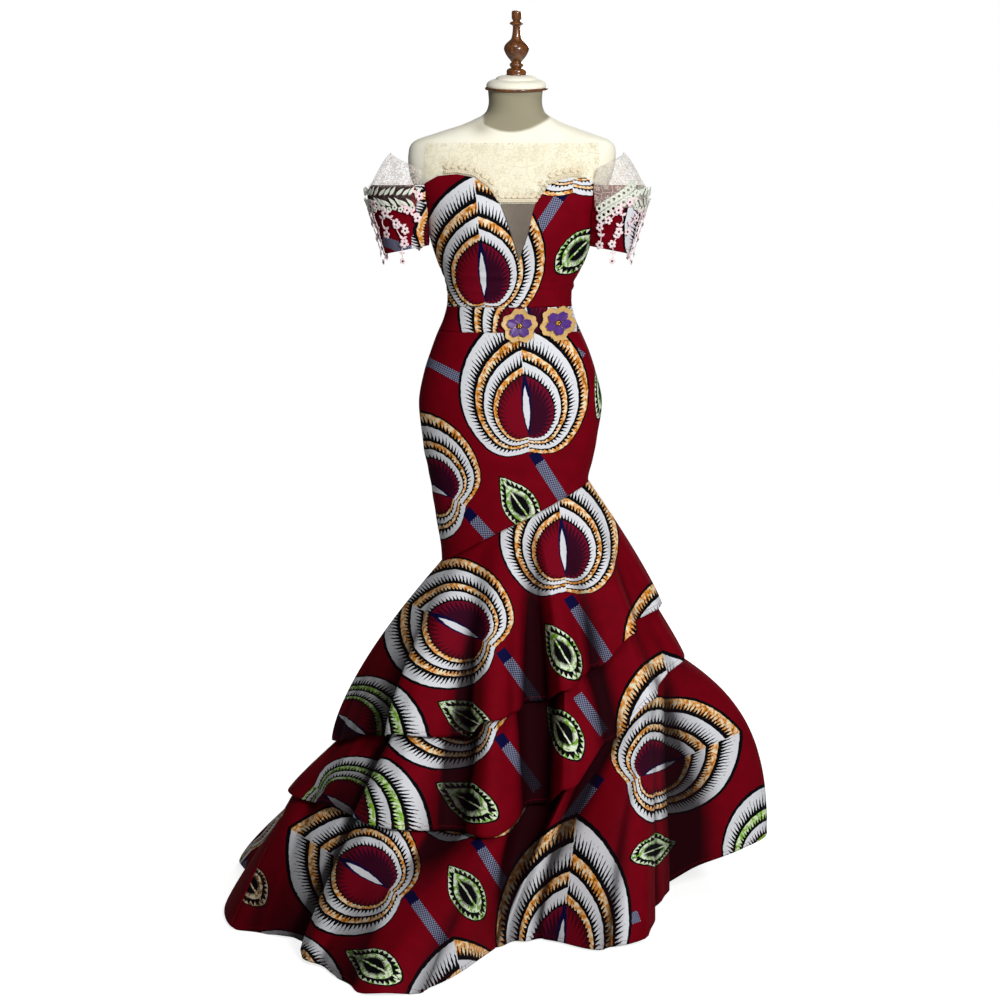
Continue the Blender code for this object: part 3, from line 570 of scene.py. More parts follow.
    def weave(self, colour: Socket) -> None:
        """Adds the painted shade, the plain weave, the stitches along hems and the matt surface.

        Args:
            colour: the printed colour.
        """
        add = self.graph.add
        u, v, fold = add("SeparateXYZ", add("Attribute", attribute_name="cloth_place", out="Vector")).node.outputs
        # The fold value is painted shade: it darkens the cloth nearly to black in troughs, under flounces and under the
        # sleeves' lace.
        colour = add("Mix.RGBA", add("MapRange", fold, 0.0, 1.0, 0.0, 0.93), colour, self.SHADE)
        # Real threads lie 0.35 mm apart; they are drawn 1.4 mm apart so that they show.
        thread = add("Math.MULTIPLY", *(add("Math.SINE", add("Math.MULTIPLY", way, FULL_TURN / self.THREAD_MM))
                                        for way in (u, v)))
        # A row of 4.5 mm stitches, 8 mm above each hem, sinks the cloth a little.
        above = add("Math.ABSOLUTE", add("Math.SUBTRACT", v, self.STITCH_LINE_MM))
        stitch = add("Math.LESS_THAN", add("Math.FRACT", add("Math.DIVIDE", u, self.STITCH_MM)), 0.7)
        stitch = add("Math.MULTIPLY", add("Math.LESS_THAN", above, 0.7), stitch)
        colour = add("Mix.RGBA", add("Math.MULTIPLY", stitch, 0.6), colour, self.DEEP_GROUND)
        height = add("Math.MULTIPLY_ADD", thread, 0.25, add("Math.MULTIPLY", stitch, -1.0))
        bump = add("Bump", 0.35, 0.0006, at={"Height": height})
        rough = add("MapRange", thread, -1.0, 1.0, 0.66, 0.82)
        add("OutputMaterial", add("BsdfPrincipled", at={
            "Base Color": colour, "Roughness": rough, "IOR": 1.46, "Specular IOR Level": 0.05, "Normal": bump}))


@dataclass(frozen=True)
class PlainFinish:
    """A one-colour finish with fine grain: its name, colours, gloss and the size of its grain in mm."""

    name: str
    colour: str
    shade: str
    roughness: float
    _: KW_ONLY
    metallic: float = 0.0
    grain: float = 2.0
    relief: float = 0.0002
    stretch: tuple[float, float, float] = (1.0, 1.0, 1.0)
    sheen: float = 0.0
    coat: float = 0.0
    patch: str = ""

    def build(self) -> bpy.types.Material:
        """Mixes the two colours by the grain and gives the grain its relief.

        Returns:
            The material.
        """
        graph = Graph(bpy.data.materials.new(self.name))
        add = graph.add
        spot = add("VectorMath.MULTIPLY", add("TexCoord", out="Object"), self.stretch)
        grain = add("TexNoise", spot, MM / self.grain, 3.0)
        cloud = add("Math.MULTIPLY", add("TexNoise", spot, 22.0, 2.0), 0.4)
        share = add("MapRange", add("Math.MULTIPLY_ADD", grain, 0.6, cloud), 0.34, 0.66)
        colour = add("Mix.RGBA", share, self.colour, self.shade)
        # A grey painted shade, where the piece asks for it by its attribute.
        if self.patch:
            shade_attribute = add("Attribute", attribute_name="patch_share", out="Fac")
            colour = add("Mix.RGBA", shade_attribute, colour, self.patch)
        rough = add("MapRange", grain, 0.0, 1.0, self.roughness - 0.08, self.roughness + 0.08)
        add("OutputMaterial", add("BsdfPrincipled", at={
            "Base Color": colour, "Roughness": rough, "Metallic": self.metallic, "Sheen Weight": self.sheen,
            "Coat Weight": self.coat, "Normal": add("Bump", 0.5, self.relief, at={"Height": grain})}))
        return graph.owner


@dataclass(frozen=True)
class EmbroideredNet:
    """Soft hexagonal net with sprigs embroidered on it: sheer between them, milky where they lie."""

    name: str
    thread: str
    net: str
    sprig_mm: float
    net_cover: float
    sprig_cover: float
    clear_mm: float = 0.0
    hole_mm: float = 2.4

    def build(self) -> bpy.types.Material:
        """Draws flower sprigs in uneven cells, joined by thin stems, over the sheer net.

        Returns:
            The material.
        """
        graph = Graph(bpy.data.materials.new(self.name))
        add = graph.add
        place = add("VectorMath.MULTIPLY", add("Attribute", attribute_name="cloth_place", out="Vector"),
                    (1.0, 1.0, 0.0))
        scaled = add("VectorMath.SCALE", place, 1.0 / self.sprig_mm)
        cells = {"Scale": 1.0, "Randomness": 0.75}
        cell = add("TexVoronoi", scaled, at=cells, out="Position", voronoi_dimensions="2D")
        arm = add("VectorMath.SUBTRACT", scaled, cell)
        x, y, _ = add("SeparateXYZ", arm).node.outputs
        lobe = add("Math.ABSOLUTE", add("Math.COSINE", add("Math.MULTIPLY", add("Math.ARCTAN2", x, y), 2.5)))
        far = add("VectorMath.LENGTH", arm)
        petal = add("Math.LESS_THAN", far, add("Math.MULTIPLY_ADD", lobe, 0.26, 0.10))
        flower = add("Math.MULTIPLY", petal, add("Math.GREATER_THAN", far, 0.07))
        edge = add("TexVoronoi", scaled, at=cells, voronoi_dimensions="2D", feature="DISTANCE_TO_EDGE")
        leaf = add("Math.MULTIPLY", add("Math.GREATER_THAN", add("TexNoise", scaled, 4.5, 1.0), 0.68), 0.6)
        sprig = add("Math.MAXIMUM", add("Math.MAXIMUM", flower, add("Math.LESS_THAN", edge, 0.035)), leaf)
        # Net holes are 1 mm across in the real cloth and drawn 2.4 mm across so that they show.
        hole = add("TexVoronoi", place, at={"Scale": 1 / self.hole_mm, "Randomness": 0.15},
                   voronoi_dimensions="2D", feature="DISTANCE_TO_EDGE")
        cover = add("Math.MULTIPLY", add("MapRange", hole, 0.05, 0.2, 1.0, 0.45), self.net_cover)
        cover = add("Mix.FLOAT", sprig, cover, self.sprig_cover)
        if self.clear_mm:
            # Along its lower edge the net is cut away behind the lace.
            clear = add("MapRange", add("SeparateXYZ", place, out="Y"), self.clear_mm - 3, self.clear_mm + 3,
                        0.12, 1.0)
            cover = add("Math.MULTIPLY", cover, clear)
        add("OutputMaterial", add("BsdfPrincipled", at={
            "Base Color": add("Mix.RGBA", sprig, self.net, self.thread), "Roughness": 0.75, "Sheen Weight": 0.1,
            "Alpha": cover, "Normal": add("Bump", 0.5, 0.0005, at={"Height": sprig})}))
        return graph.owner


class Finishes:
    """Every finish of the dress, its form and the stand, built once."""

    def __init__(self) -> None:
        """Builds the materials."""
        self.cotton = WaxPrintCotton().build()
        # Cotton jersey stretched over a padded form: soft, matt and faintly mottled; its grey is painted shade on the
        # neck.
        self.jersey = PlainFinish("cotton_jersey", "#FAF7E8", "#F3EED8", 0.86, grain=1.6, sheen=0.05,
                                  patch="#968F76").build()
        # Turned and varnished hardwood: dark red-brown with long grain and a glossy coat.
        self.wood = PlainFinish("varnished_hardwood", "#8E5420", "#3C1A08", 0.30, grain=5.0,
                                stretch=(1.0, 1.0, 0.15), coat=0.7).build()
        # Lacquered brass of the belt flowers' middles: warm, with a soft shine.
        self.brass = PlainFinish("lacquered_brass", "#C89A4A", "#A87A30", 0.28, metallic=1.0, grain=4.0,
                                 relief=0.00005).build()
        # Powder-coated steel: even satin grey with an orange-peel skin.
        self.steel = PlainFinish("powder_coated_steel", "#5C5C60", "#505054", 0.42, grain=1.2,
                                 relief=0.00012).build()
        # Polyester satin of the belt flowers: dense colour with a soft gloss along the threads.
        self.purple = PlainFinish("purple_polyester_satin", "#5A2390", "#40166E", 0.46, grain=0.9,
                                  sheen=0.3).build()
        self.gold = PlainFinish("gold_polyester_satin", "#E0BC78", "#C99A54", 0.48, grain=0.9,
                                sheen=0.3).build()
        # Guipure lace: thick cotton embroidery without a ground, chalky and slightly fuzzy.
        self.guipure = PlainFinish("white_guipure_lace", "#F0F2E8", "#D2D8C6", 0.8, grain=0.8, relief=0.0004,
                                   sheen=0.2).build()
        self.yoke_lace = PlainFinish("cream_guipure_lace", "#F0E6CE", "#E2D2B2", 0.8, grain=0.8,
                                     relief=0.0004).build()
        self.chain = PlainFinish("pink_white_guipure_lace", "#FBECEE", "#EFCBD2", 0.8, grain=0.8,
                                 relief=0.0004, sheen=0.2).build()
        # Glass bead at each flower's middle: near-black and shiny.
        self.bead = PlainFinish("dark_glass_bead", "#3A0A18", "#1C060C", 0.15, grain=5.0,
                                relief=0.00002).build()
        # Nylon mesh lined with the same: it reads as a matt taupe cloth.
        self.mesh = PlainFinish("taupe_nylon_mesh", "#7A6E62", "#645A4F", 0.7, grain=1.3,
                                relief=0.0003).build()
        # Embroidered nets: a veil over the skin of the form, thicker where the sprigs lie close.
        self.net = EmbroideredNet("cream_embroidered_net", "#EADFC0", "#F4E8C4", 26.0, 0.10, 0.22).build()
        self.sleeve_net = EmbroideredNet("white_embroidered_net", "#EBDDD4", "#FBF6F0", 20.0, 0.09, 0.30,
                                         clear_mm=40.0).build()
        self.strip_net = EmbroideredNet("close_embroidered_net", "#EBE0D2", "#F4EEE2", 16.0, 0.20, 0.46).build()


# The fitted body, repeated from the solids' own sizes in millimetres: height, half width, depth to the front
# and to the back, and shift to the right

BODY = np.array([
    (1580, 56.5, 56, 56, 8), (1530, 60, 57, 60, 8), (1508, 98, 58, 65, 7), (1492, 145, 60, 70, 5),
    (1475, 190, 64, 76, 3), (1452, 201, 70, 82, 2), (1410, 196, 82, 90, 0), (1370, 179, 93, 95, 0),
    (1335, 163, 101, 96, 0), (1295, 155, 103, 94, 0), (1250, 141, 98, 88, 0), (1213, 125, 91, 81, -2),
    (1175, 118.5, 87, 78, -3), (1140, 126, 88, 80, -3), (1110, 139, 92, 88, -3), (1080, 151, 96, 98, -2),
    (1040, 164, 101, 110, -2), (984, 175.5, 107, 123, -1), (926, 170, 109, 123, -2), (880, 163, 107, 117, -3),
    (830, 153, 103, 109, -3), (760, 143, 100, 103, -2), (700, 135, 98, 99, 0), (640, 133, 98, 98, 0),
]) / MM
# Height of the bodice's edge at shares of the half width.
NECKLINE = np.array([
    (-1.000, 1.360), (-0.990, 1.363), (-0.960, 1.373), (-0.880, 1.392), (-0.700, 1.409), (-0.520, 1.412),
    (-0.355, 1.406), (-0.215, 1.384), (-0.122, 1.355), (-0.060, 1.325), (0.013, 1.290), (0.096, 1.248),
    (0.200, 1.300), (0.256, 1.355), (0.371, 1.393), (0.540, 1.404), (0.714, 1.406), (0.880, 1.388),
    (0.960, 1.371), (0.990, 1.363), (1.000, 1.360),
])
# Height, outer and inner reach, and half depth of the sleeves in millimetres.
SLEEVE_RINGS = np.array([
    (1460, 212, 150, 34), (1440, 230, 142, 52), (1400, 253, 134, 65), (1378, 266, 132, 68),
    (1345, 260, 137, 66), (1300, 246, 145, 60), (1262, 235, 152, 54),
]) / MM
ROUNDNESS = 2.2


def read_smoothly(rows: Array, heights: Array) -> Array:
    """Reads a table on a smooth curve through its rows.

    Args:
        rows: the table, whose first column is the height and runs downwards.
        heights: heights to read it at.

    Returns:
        One row of the table's values for each height.
    """
    last = len(rows) - 1
    heights = np.clip(heights, rows[last, 0], rows[0, 0])
    index = np.clip(np.searchsorted(-rows[:, 0], -heights, side="right") - 1, 0, last - 1)
    above, upper = rows[np.maximum(index - 1, 0)], rows[index]
    lower, below = rows[index + 1], rows[np.minimum(index + 2, last)]
    span = upper[..., :1] - lower[..., :1]
    leave = (lower - above) / (above[..., :1] - lower[..., :1]) * span
    arrive = (below - upper) / (upper[..., :1] - below[..., :1]) * span
    return smooth_step(upper, lower, leave, arrive, (upper[..., :1] - heights[..., None]) / span)


@dataclass(frozen=True)
class BodyShape:
    """The dress form's own shape, which the fitted cloth follows."""

    swell: float = 0.020
    bust_offset: float = 0.072
    bust_height: float = 1.315
    bust_width: float = 0.050
    bust_length: float = 0.056
    form_swell_share: float = 0.85

    def points(self, angles: Array, heights: Array, out: float | Array = 0.0) -> Array:
        """Points of the body's outside.

        Args:
            angles: angles in radians.
            heights: heights in metres, of the same shape.
            out: distance that the surface is moved out.

        Returns:
            An array of points.
        """
        section = read_smoothly(BODY, heights)
        across, deep = (np.copysign(np.abs(wave) ** (2 / ROUNDNESS), wave)
                        for wave in (np.cos(angles), np.sin(angles)))
        x = (section[..., 1] + out) * across
        y = (np.where(deep < 0, section[..., 2], section[..., 3]) + out) * deep
        up = (heights - self.bust_height) / self.bust_length
        swell = sum(np.exp(-((x - side * self.bust_offset) / self.bust_width) ** 2 - up * up)
                    for side in (-1, 1))
        swell = self.swell * swell * np.abs(deep) * np.where(np.asarray(out) < 0, self.form_swell_share, 1.0)
        y = np.where(deep < 0, y - swell, y)
        return np.stack([x + section[..., 4], y, heights + 0 * x], axis=-1)

    def cleared(self, points: Array, out: float) -> Array:
        """Moves points straight out from the body's axis where they would be nearer than out to it.

        Args:
            points: the points.
            out: the distance to keep.

        Returns:
            The moved points.
        """
        section = read_smoothly(BODY, points[..., 2])
        x, y, z = points[..., 0] - section[..., 4], points[..., 1], points[..., 2]
        depth = np.where(y < 0, section[..., 2], section[..., 3])
        reach = np.abs(x / (section[..., 1] + out)) ** ROUNDNESS + np.abs(y / (depth + out)) ** ROUNDNESS
        scale = np.where(reach >= 1, 1.0, np.maximum(reach, 1e-9) ** (-1 / ROUNDNESS))
        return np.stack([x * scale + section[..., 4], y * scale, z], axis=-1)


SHAPE = BodyShape()


def share_angle(shares: Array) -> Array:
    """Front angle, in radians, of the columns that stay at shares of the half width."""
    return -np.arccos(np.copysign(np.abs(shares) ** (ROUNDNESS / 2), shares))


def edge_height(shares: Array) -> Array:
    """Height of the bodice's edge at shares of the half width."""
    return np.interp(shares, NECKLINE[:, 0], NECKLINE[:, 1])


# Meshes

def add_mesh(name: str, points: Array | list, faces: Array | list, material: bpy.types.Material,
             smooth: bool = True) -> bpy.types.Object:
    """Makes an object of a mesh.

    Args:
        name: the piece's name.
        points: its points.
        faces: corner numbers of each face.
        material: its finish.
        smooth: whether its faces are shaded smooth.

    Returns:
        The new object.
    """
    mesh = bpy.data.meshes.new(name)
    mesh.from_pydata(np.asarray(points, float).tolist(), [], [list(map(int, face)) for face in faces])
    mesh.materials.append(material)
    mesh.polygons.foreach_set("use_smooth", [smooth] * len(mesh.polygons))
    mesh.update()
    thing = bpy.data.objects.new(name, mesh)
    bpy.context.scene.collection.objects.link(thing)
    return thing


def grid_faces(rows: int, columns: int, closed: bool) -> Array:
    """Corner numbers of a grid's quads.

    Args:
        rows: its rows of points.
        columns: points in each row.
        closed: whether the last column joins the first.

    Returns:
        Four numbers for each quad.
    """
    row, column = np.meshgrid(np.arange(rows - 1), np.arange(columns if closed else columns - 1), indexing="ij")
    right, row = (column + 1) % columns, row * columns
    return np.stack([row + column, row + columns + column, row + columns + right, row + right],
                    axis=-1).reshape(-1, 4)


def wall_faces(outer: Array, count: int) -> Array:
    """Faces of a closed wall: its outer quads, the same ones inside, and a rim along their free edges.

    Args:
        outer: corner numbers of the outer quads.
        count: number of the outer points, which the inner points follow in the same order.

    Returns:
        Four numbers for each quad.
    """
    edges = np.concatenate([outer[:, [corner, (corner + 1) % 4]] for corner in range(4)]).tolist()
    known = set(map(tuple, edges))
    rim = [(b, a, a + count, b + count) for a, b in edges if (b, a) not in known]
    return np.concatenate([outer, outer[:, ::-1] + count, np.array(rim)])


def store(piece: bpy.types.Object, name: str, values: Array) -> None:
    """Keeps a vector for every corner of every face."""
    layer = piece.data.attributes.new(name, "FLOAT_VECTOR", "CORNER")
    layer.data.foreach_set("vector", values.astype(np.float32).ravel())


@dataclass
class Cloth:
    """A grid of a cloth's outer points, from the top row down and anticlockwise as seen from above.

    Angles belong to its columns, and folds hold the painted shade at each point, from 0 to 1.
    """

    points: Array
    closed: bool = False
    normals: Array | None = None
    angles: Array | None = None
    slanted: bool = False
    folds: Array | None = None

    def __post_init__(self) -> None:
        """Finds the normals where none are given, and starts the cloth without painted shade."""
        if self.normals is None:
            down = np.gradient(self.points, axis=0)
            along = np.gradient(self.points, axis=1)
            if self.closed:
                along = np.roll(self.points, -1, axis=1) - np.roll(self.points, 1, axis=1)
            self.normals = unit(np.cross(down, along))
        if self.folds is None:
            self.folds = np.zeros(self.points.shape[:2])

    def moved(self, distance: Array) -> Cloth:
        """The cloth moved along its normals by a distance at each point."""
        points = self.points + self.normals * distance[..., None]
        return Cloth(points, self.closed, angles=self.angles, slanted=self.slanted)

    def panel(self, first: int, last: int) -> Cloth:
        """Cuts a panel out of the cloth, with its side edges cut back by a seam's gap.

        Args:
            first: its first column.
            last: its last column.

        Returns:
            The panel.
        """
        picked = np.arange(first, last + 1) % self.points.shape[1]
        points = self.points[:, picked]
        start = unit(points[:, 1] - points[:, 0]) * SEAM_GAP / 2
        end = unit(points[:, -2] - points[:, -1]) * SEAM_GAP / 2
        points[:, 0] += start
        points[:, -1] += end
        return Cloth(points, False, self.normals[:, picked], self.angles[picked], self.slanted,
                     self.folds[:, picked])

    def sizes(self) -> tuple[float, float, float]:
        """Measures the flat cut.

        Returns:
            Its longest row, its longest column and its area.
        """
        points = self.points
        if self.closed:
            points = np.concatenate([points, points[:, :1]], axis=1)
        # A fitted piece is cut as wide as it is level, and a flounce as wide as its slanted hem.
        along = np.linalg.norm(np.diff(points, axis=1)[..., :3 if self.slanted else 2], axis=-1)
        down = np.linalg.norm(np.diff(points, axis=0), axis=-1)
        first = np.cross(points[1:, :-1] - points[:-1, :-1], points[:-1, 1:] - points[:-1, :-1])
        second = np.cross(points[1:, 1:] - points[:-1, 1:], points[1:, 1:] - points[1:, :-1])
        area = sum(np.linalg.norm(half, axis=-1).sum() for half in (first, second)) / 2
        return along.sum(axis=1).max(), down.sum(axis=0).max(), area

    @cached_property
    def wall(self) -> Array:
        """Corner numbers of the wall's faces."""
        return wall_faces(grid_faces(*self.points.shape[:2], self.closed), self.folds.size)

    @cached_property
    def place(self) -> Array:
        """Finds where each point lies on the flat cloth, for its weave and stitches, and its painted shade.

        Returns:
            Millimetres along its row and up from the bottom edge, and how much painted shade it carries.
        """
        along = np.linalg.norm(np.diff(self.points, axis=1, prepend=self.points[:, :1]), axis=-1)
        down = np.linalg.norm(np.diff(self.points, axis=0, append=self.points[-1:]), axis=-1)
        u = np.cumsum(along, axis=1).mean(axis=0, keepdims=True) + 0 * down
        v = np.cumsum(down[::-1], axis=0)[::-1]
        return np.stack([u * MM, v * MM, self.folds], axis=-1)

    def find_folds(self, reach: int, deepest: float) -> Array:
        """Finds depths under the cloth's own smoothed shape.

        Args:
            reach: columns to each side that the shape is smoothed over.
            deepest: depth in metres that counts as 1.

        Returns:
            A depth from 0 to 1 at each point.
        """
        steps = np.arange(-2 * reach, 2 * reach + 1)
        weights = np.exp(-(steps / reach) ** 2)
        smooth = sum(weight * np.roll(self.points, step, axis=1) for step, weight in zip(steps, weights))
        under = ((smooth / weights.sum() - self.points) * self.normals).sum(axis=-1)
        return np.clip(under / deepest, 0, 1)

    def shell(self, name: str, thickness: float, material: bpy.types.Material,
              hem: float = 0.0) -> bpy.types.Object:
        """Makes the closed wall inside the outer points.

        Args:
            name: the piece's name.
            thickness: the wall's thickness.
            material: its finish.
            hem: height of the turned-up hem, where the wall is thicker.

        Returns:
            The piece.
        """
        depth = np.where(self.place[..., 1] < hem * MM, thickness * HEM_WALLS, thickness)
        inner = self.points - self.normals * depth[..., None]
        points = np.concatenate([self.points.reshape(-1, 3), inner.reshape(-1, 3)])
        piece = add_mesh(name, points, self.wall, material)
        store(piece, "cloth_place", np.concatenate([self.place.reshape(-1, 3)] * 2)[self.wall])
        return piece

    def find(self, motif: Motif) -> tuple[int, int]:
        """Finds the point that a motif lies on.

        Args:
            motif: the motif.

        Returns:
            Its row and column.
        """
        if motif.by_share:
            column = int(np.argmin(np.abs((self.angles - motif.angle + 180) % 360 - 180)))
            return int(round(motif.height * (self.points.shape[0] - 1))), column
        x, y, z = np.moveaxis(self.points, -1, 0)
        turn = (np.degrees(np.arctan2(y, x)) - motif.angle + 180) % 360 - 180
        miss = (np.radians(turn) * np.hypot(x, y)) ** 2 + (z - motif.height) ** 2
        return np.unravel_index(int(np.argmin(miss)), miss.shape)

    def print_motifs(self, piece: bpy.types.Object, motifs: list[Motif]) -> None:
        """Stores each corner's place on the motif that is nearest to its face.

        Args:
            piece: the wall made of this cloth.
            motifs: the motifs on it.
        """
        points = np.concatenate([self.points.reshape(-1, 3)] * 2)
        normals = np.concatenate([self.normals.reshape(-1, 3)] * 2)
        for kind in (Pod, Leaf, Bar):
            best = np.full(len(self.wall), FAR_OUT)
            values = np.full((len(self.wall), 4, 3), FAR_OUT)
            for motif in (motif for motif in motifs if type(motif) is kind):
                local, level = self.local_places(motif, points, normals)
                level = level[self.wall].mean(axis=1)
                nearer = level < best
                best = np.where(nearer, level, best)
                values = np.where(nearer[:, None, None], local[self.wall], values)
            values[best > kind.limit, :, 0] = FAR_OUT
            store(piece, kind.attribute, values)

    def local_places(self, motif: Motif, points: Array, normals: Array) -> tuple[Array, Array]:
        """Places in a motif's own frame, in millimetres, at true distances from its anchor.

        Args:
            motif: the motif.
            points: points of the piece.
            normals: their normals.

        Returns:
            Place on the motif with its extra value at each point, and how far that is from the motif.
        """
        spot = self.find(motif)
        anchor = self.points[spot]
        # A motif of the photo lies flat to the eye that took it, and any other flat to the cloth round it.
        near = np.exp(-(np.linalg.norm(points - anchor, axis=1) / 0.05) ** 2)
        near = near * (normals @ self.normals[spot] > 0)
        facing = unit((normals * near[:, None]).sum(axis=0))
        bend, hidden = 1.0, -0.35
        if motif.to_front:
            facing, bend, hidden = unit(np.array(FRONT_EYE) - anchor), 0.3, -0.10
        right = unit(np.cross((0.0, 0.0, 1.0), facing))
        across, along = leaned(right, np.cross(facing, right), math.radians(motif.upright + motif.turn))
        arm = (points - anchor) * MM
        x, y = arm @ across, arm @ along
        flat = np.maximum(np.hypot(x, y), 1e-6)
        true = np.minimum(np.linalg.norm(arm, axis=1) / flat, 3.0) ** bend
        x, y = x * true / motif.size, y * true / motif.size / motif.stretch
        x, y = (-x if motif.mirrored else x) + motif.at[0], y + motif.at[1]
        level = np.where(normals @ facing < hidden, FAR_OUT, motif.level(x, y))
        return np.stack([x, y, np.full(len(x), motif.extra())], axis=-1), level


def fitted(angles: Array, tops: float | Array, bottoms: float | Array, rows: int, closed: bool) -> Cloth:
    """Lays a cloth on the body between two edges.

    Args:
        angles: angle of each column in radians.
        tops: height of its upper edge.
        bottoms: height of its lower edge.
        rows: rows of faces.
        closed: whether it goes all round.

    Returns:
        The cloth.
    """
    heights = tops + (bottoms - tops) * np.linspace(0, 1, rows + 1)[:, None] + 0 * angles
    return Cloth(SHAPE.points(angles + 0 * heights, heights), closed, angles=np.degrees(angles) % 360)


class Held(Enum):
    """How a sheet of cloth is held."""

    HUNG = "hung"
    STRETCHED = "stretched"
    DRAPED = "draped"


def settle(piece: bpy.types.Object, node: str = "") -> None:
    """Rides a piece on the object's one body.

    Args:
        piece: the piece.
        node: the solid that it replaces, if it replaces one.
    """
    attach(piece, "root")
    if node:
        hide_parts(node)
    LOG.info("%s: %d faces", piece.name, len(piece.data.polygons))


def declare(piece: bpy.types.Object, node: str, cloth: Cloth, held: Held) -> None:
    """Settles a sheet and states its cut.

    Args:
        piece: the sheet.
        node: the solid that it replaces.
        cloth: its grid, which gives the flat cut.
        held: how it is held; not used.
    """
    settle(piece, node)
    width, length, area = cloth.sizes()
    LOG.info("  cut %.0f x %.0f mm, %.3f m2", width * MM, length * MM, area)


@dataclass
class Assembly:
    """A part of the object that is built with the shared finishes."""

    finishes: Finishes

    def sew(self, node: str, cloth: Cloth, held: Held, rests_on: str, hem: float = 0.0) -> None:
        """Builds a printed cotton piece.

        Args:
            node: the solid that it replaces.
            cloth: the piece's grid.
            held: how it is held.
            rests_on: what carries it; not used.
            hem: height of its hem.
        """
        piece = cloth.shell("cotton_" + node, COTTON_WALL, self.finishes.cotton, hem)
        cloth.print_motifs(piece, MOTIFS[node])
        declare(piece, node, cloth, held)


# The fitted pieces

@dataclass
class FittedBodice(Assembly):
    """The sweetheart bodice, its band and the slim skirt down to the slanted seam."""

    band_top: float = 1.164
    band_bottom: float = 1.117
    back_top: float = 1.360
    slant_middle: float = 0.751
    slant_rise: float = 0.078
    columns: int = 240
    bodice_rows: int = 64
    band_rows: int = 12
    skirt_rows: int = 84
    closest: float = 0.0015

    def slant(self, angles: Array) -> Array:
        """Height of the slanted seam at angles in radians."""
        return self.slant_middle + self.slant_rise * np.cos(angles)

    def drag_lines(self, cloth: Cloth, bottom: float, top: float, depth: float) -> Cloth:
        """Presses in the soft cross folds of a close fit.

        Args:
            cloth: the smooth cloth.
            bottom: height that the folds start at.
            top: height that they end at.
            depth: their depth.

        Returns:
            The folded cloth.
        """
        x, y, z = np.moveaxis(cloth.points, -1, 0)
        angle = np.arctan2(y, x)
        share = np.clip((z - bottom) / (top - bottom), 0, 1)
        coarse = np.sin(FULL_TURN * share * 3.3 + 1.3 * np.sin(angle * 2)) * (0.6 + 0.4 * np.sin(angle * 3 + 1))
        fine = 0.5 * np.sin(FULL_TURN * share * 5.1 + 2.0 * np.cos(angle))
        return cloth.moved(depth * np.sin(math.pi * share) ** 2 * (coarse + fine - 0.6) * 0.6)

    def build(self) -> None:
        """Builds the bodice, the waistband and the slim skirt."""
        half = self.columns // 2
        # Columns crowd to the V, where the edge is steep.
        shares = np.sort(np.concatenate([-np.cos(np.linspace(0, math.pi, half + 1)), NECKLINE[:, 0],
                                         np.linspace(-0.2, 0.3, 41)]))
        shares = shares[np.concatenate([[True], np.diff(shares) > self.closest])]
        angles = np.concatenate([share_angle(shares)[:-1], np.linspace(0, math.pi, half + 1)[:-1]])
        tops = np.concatenate([edge_height(shares)[:-1], np.full(half, self.back_top)])
        ring = fitted(angles, tops, self.band_top + SEAM_GAP, self.bodice_rows, True)
        ring = self.drag_lines(ring, 1.17, 1.25, 0.0022)
        side = len(shares) - 1
        for node, first, last in (("bodice_front", 0, side), ("bodice_back_right", side, side + half // 2),
                                  ("bodice_back_left", side + half // 2, side + half)):
            self.sew(node, ring.panel(first, last), Held.STRETCHED, TORSO)
        angles = ring_turns(self.columns) - math.pi
        back = self.columns * 3 // 4
        ring = fitted(angles, self.band_top, self.band_bottom, self.band_rows, True)
        for node, first, last in (("waistband_front", 0, half), ("waistband_back", half, self.columns)):
            self.sew(node, ring.panel(first, last), Held.STRETCHED, TORSO)
        ring = fitted(angles, self.band_bottom - SEAM_GAP, self.slant(angles), self.skirt_rows, True)
        ring = self.drag_lines(ring, 0.72, 0.96, 0.0020)
        for node, first, last in (("skirt_front", 0, half), ("skirt_back_right", half, back),
                                  ("skirt_back_left", back, self.columns)):
            self.sew(node, ring.panel(first, last), Held.HUNG, TORSO)


@dataclass(frozen=True)
class Crease:
    """A soft trough or ridge down a flounce: its angle at the hem, its reach up, depth in mm and width.

    Its lean moves its top, and its spread is how many widths its painted shade reaches to the left.
    """

    angle: float
    start: float
    depth: float
    width: float
    lean: float = 0.0
    spread: float = 1.15


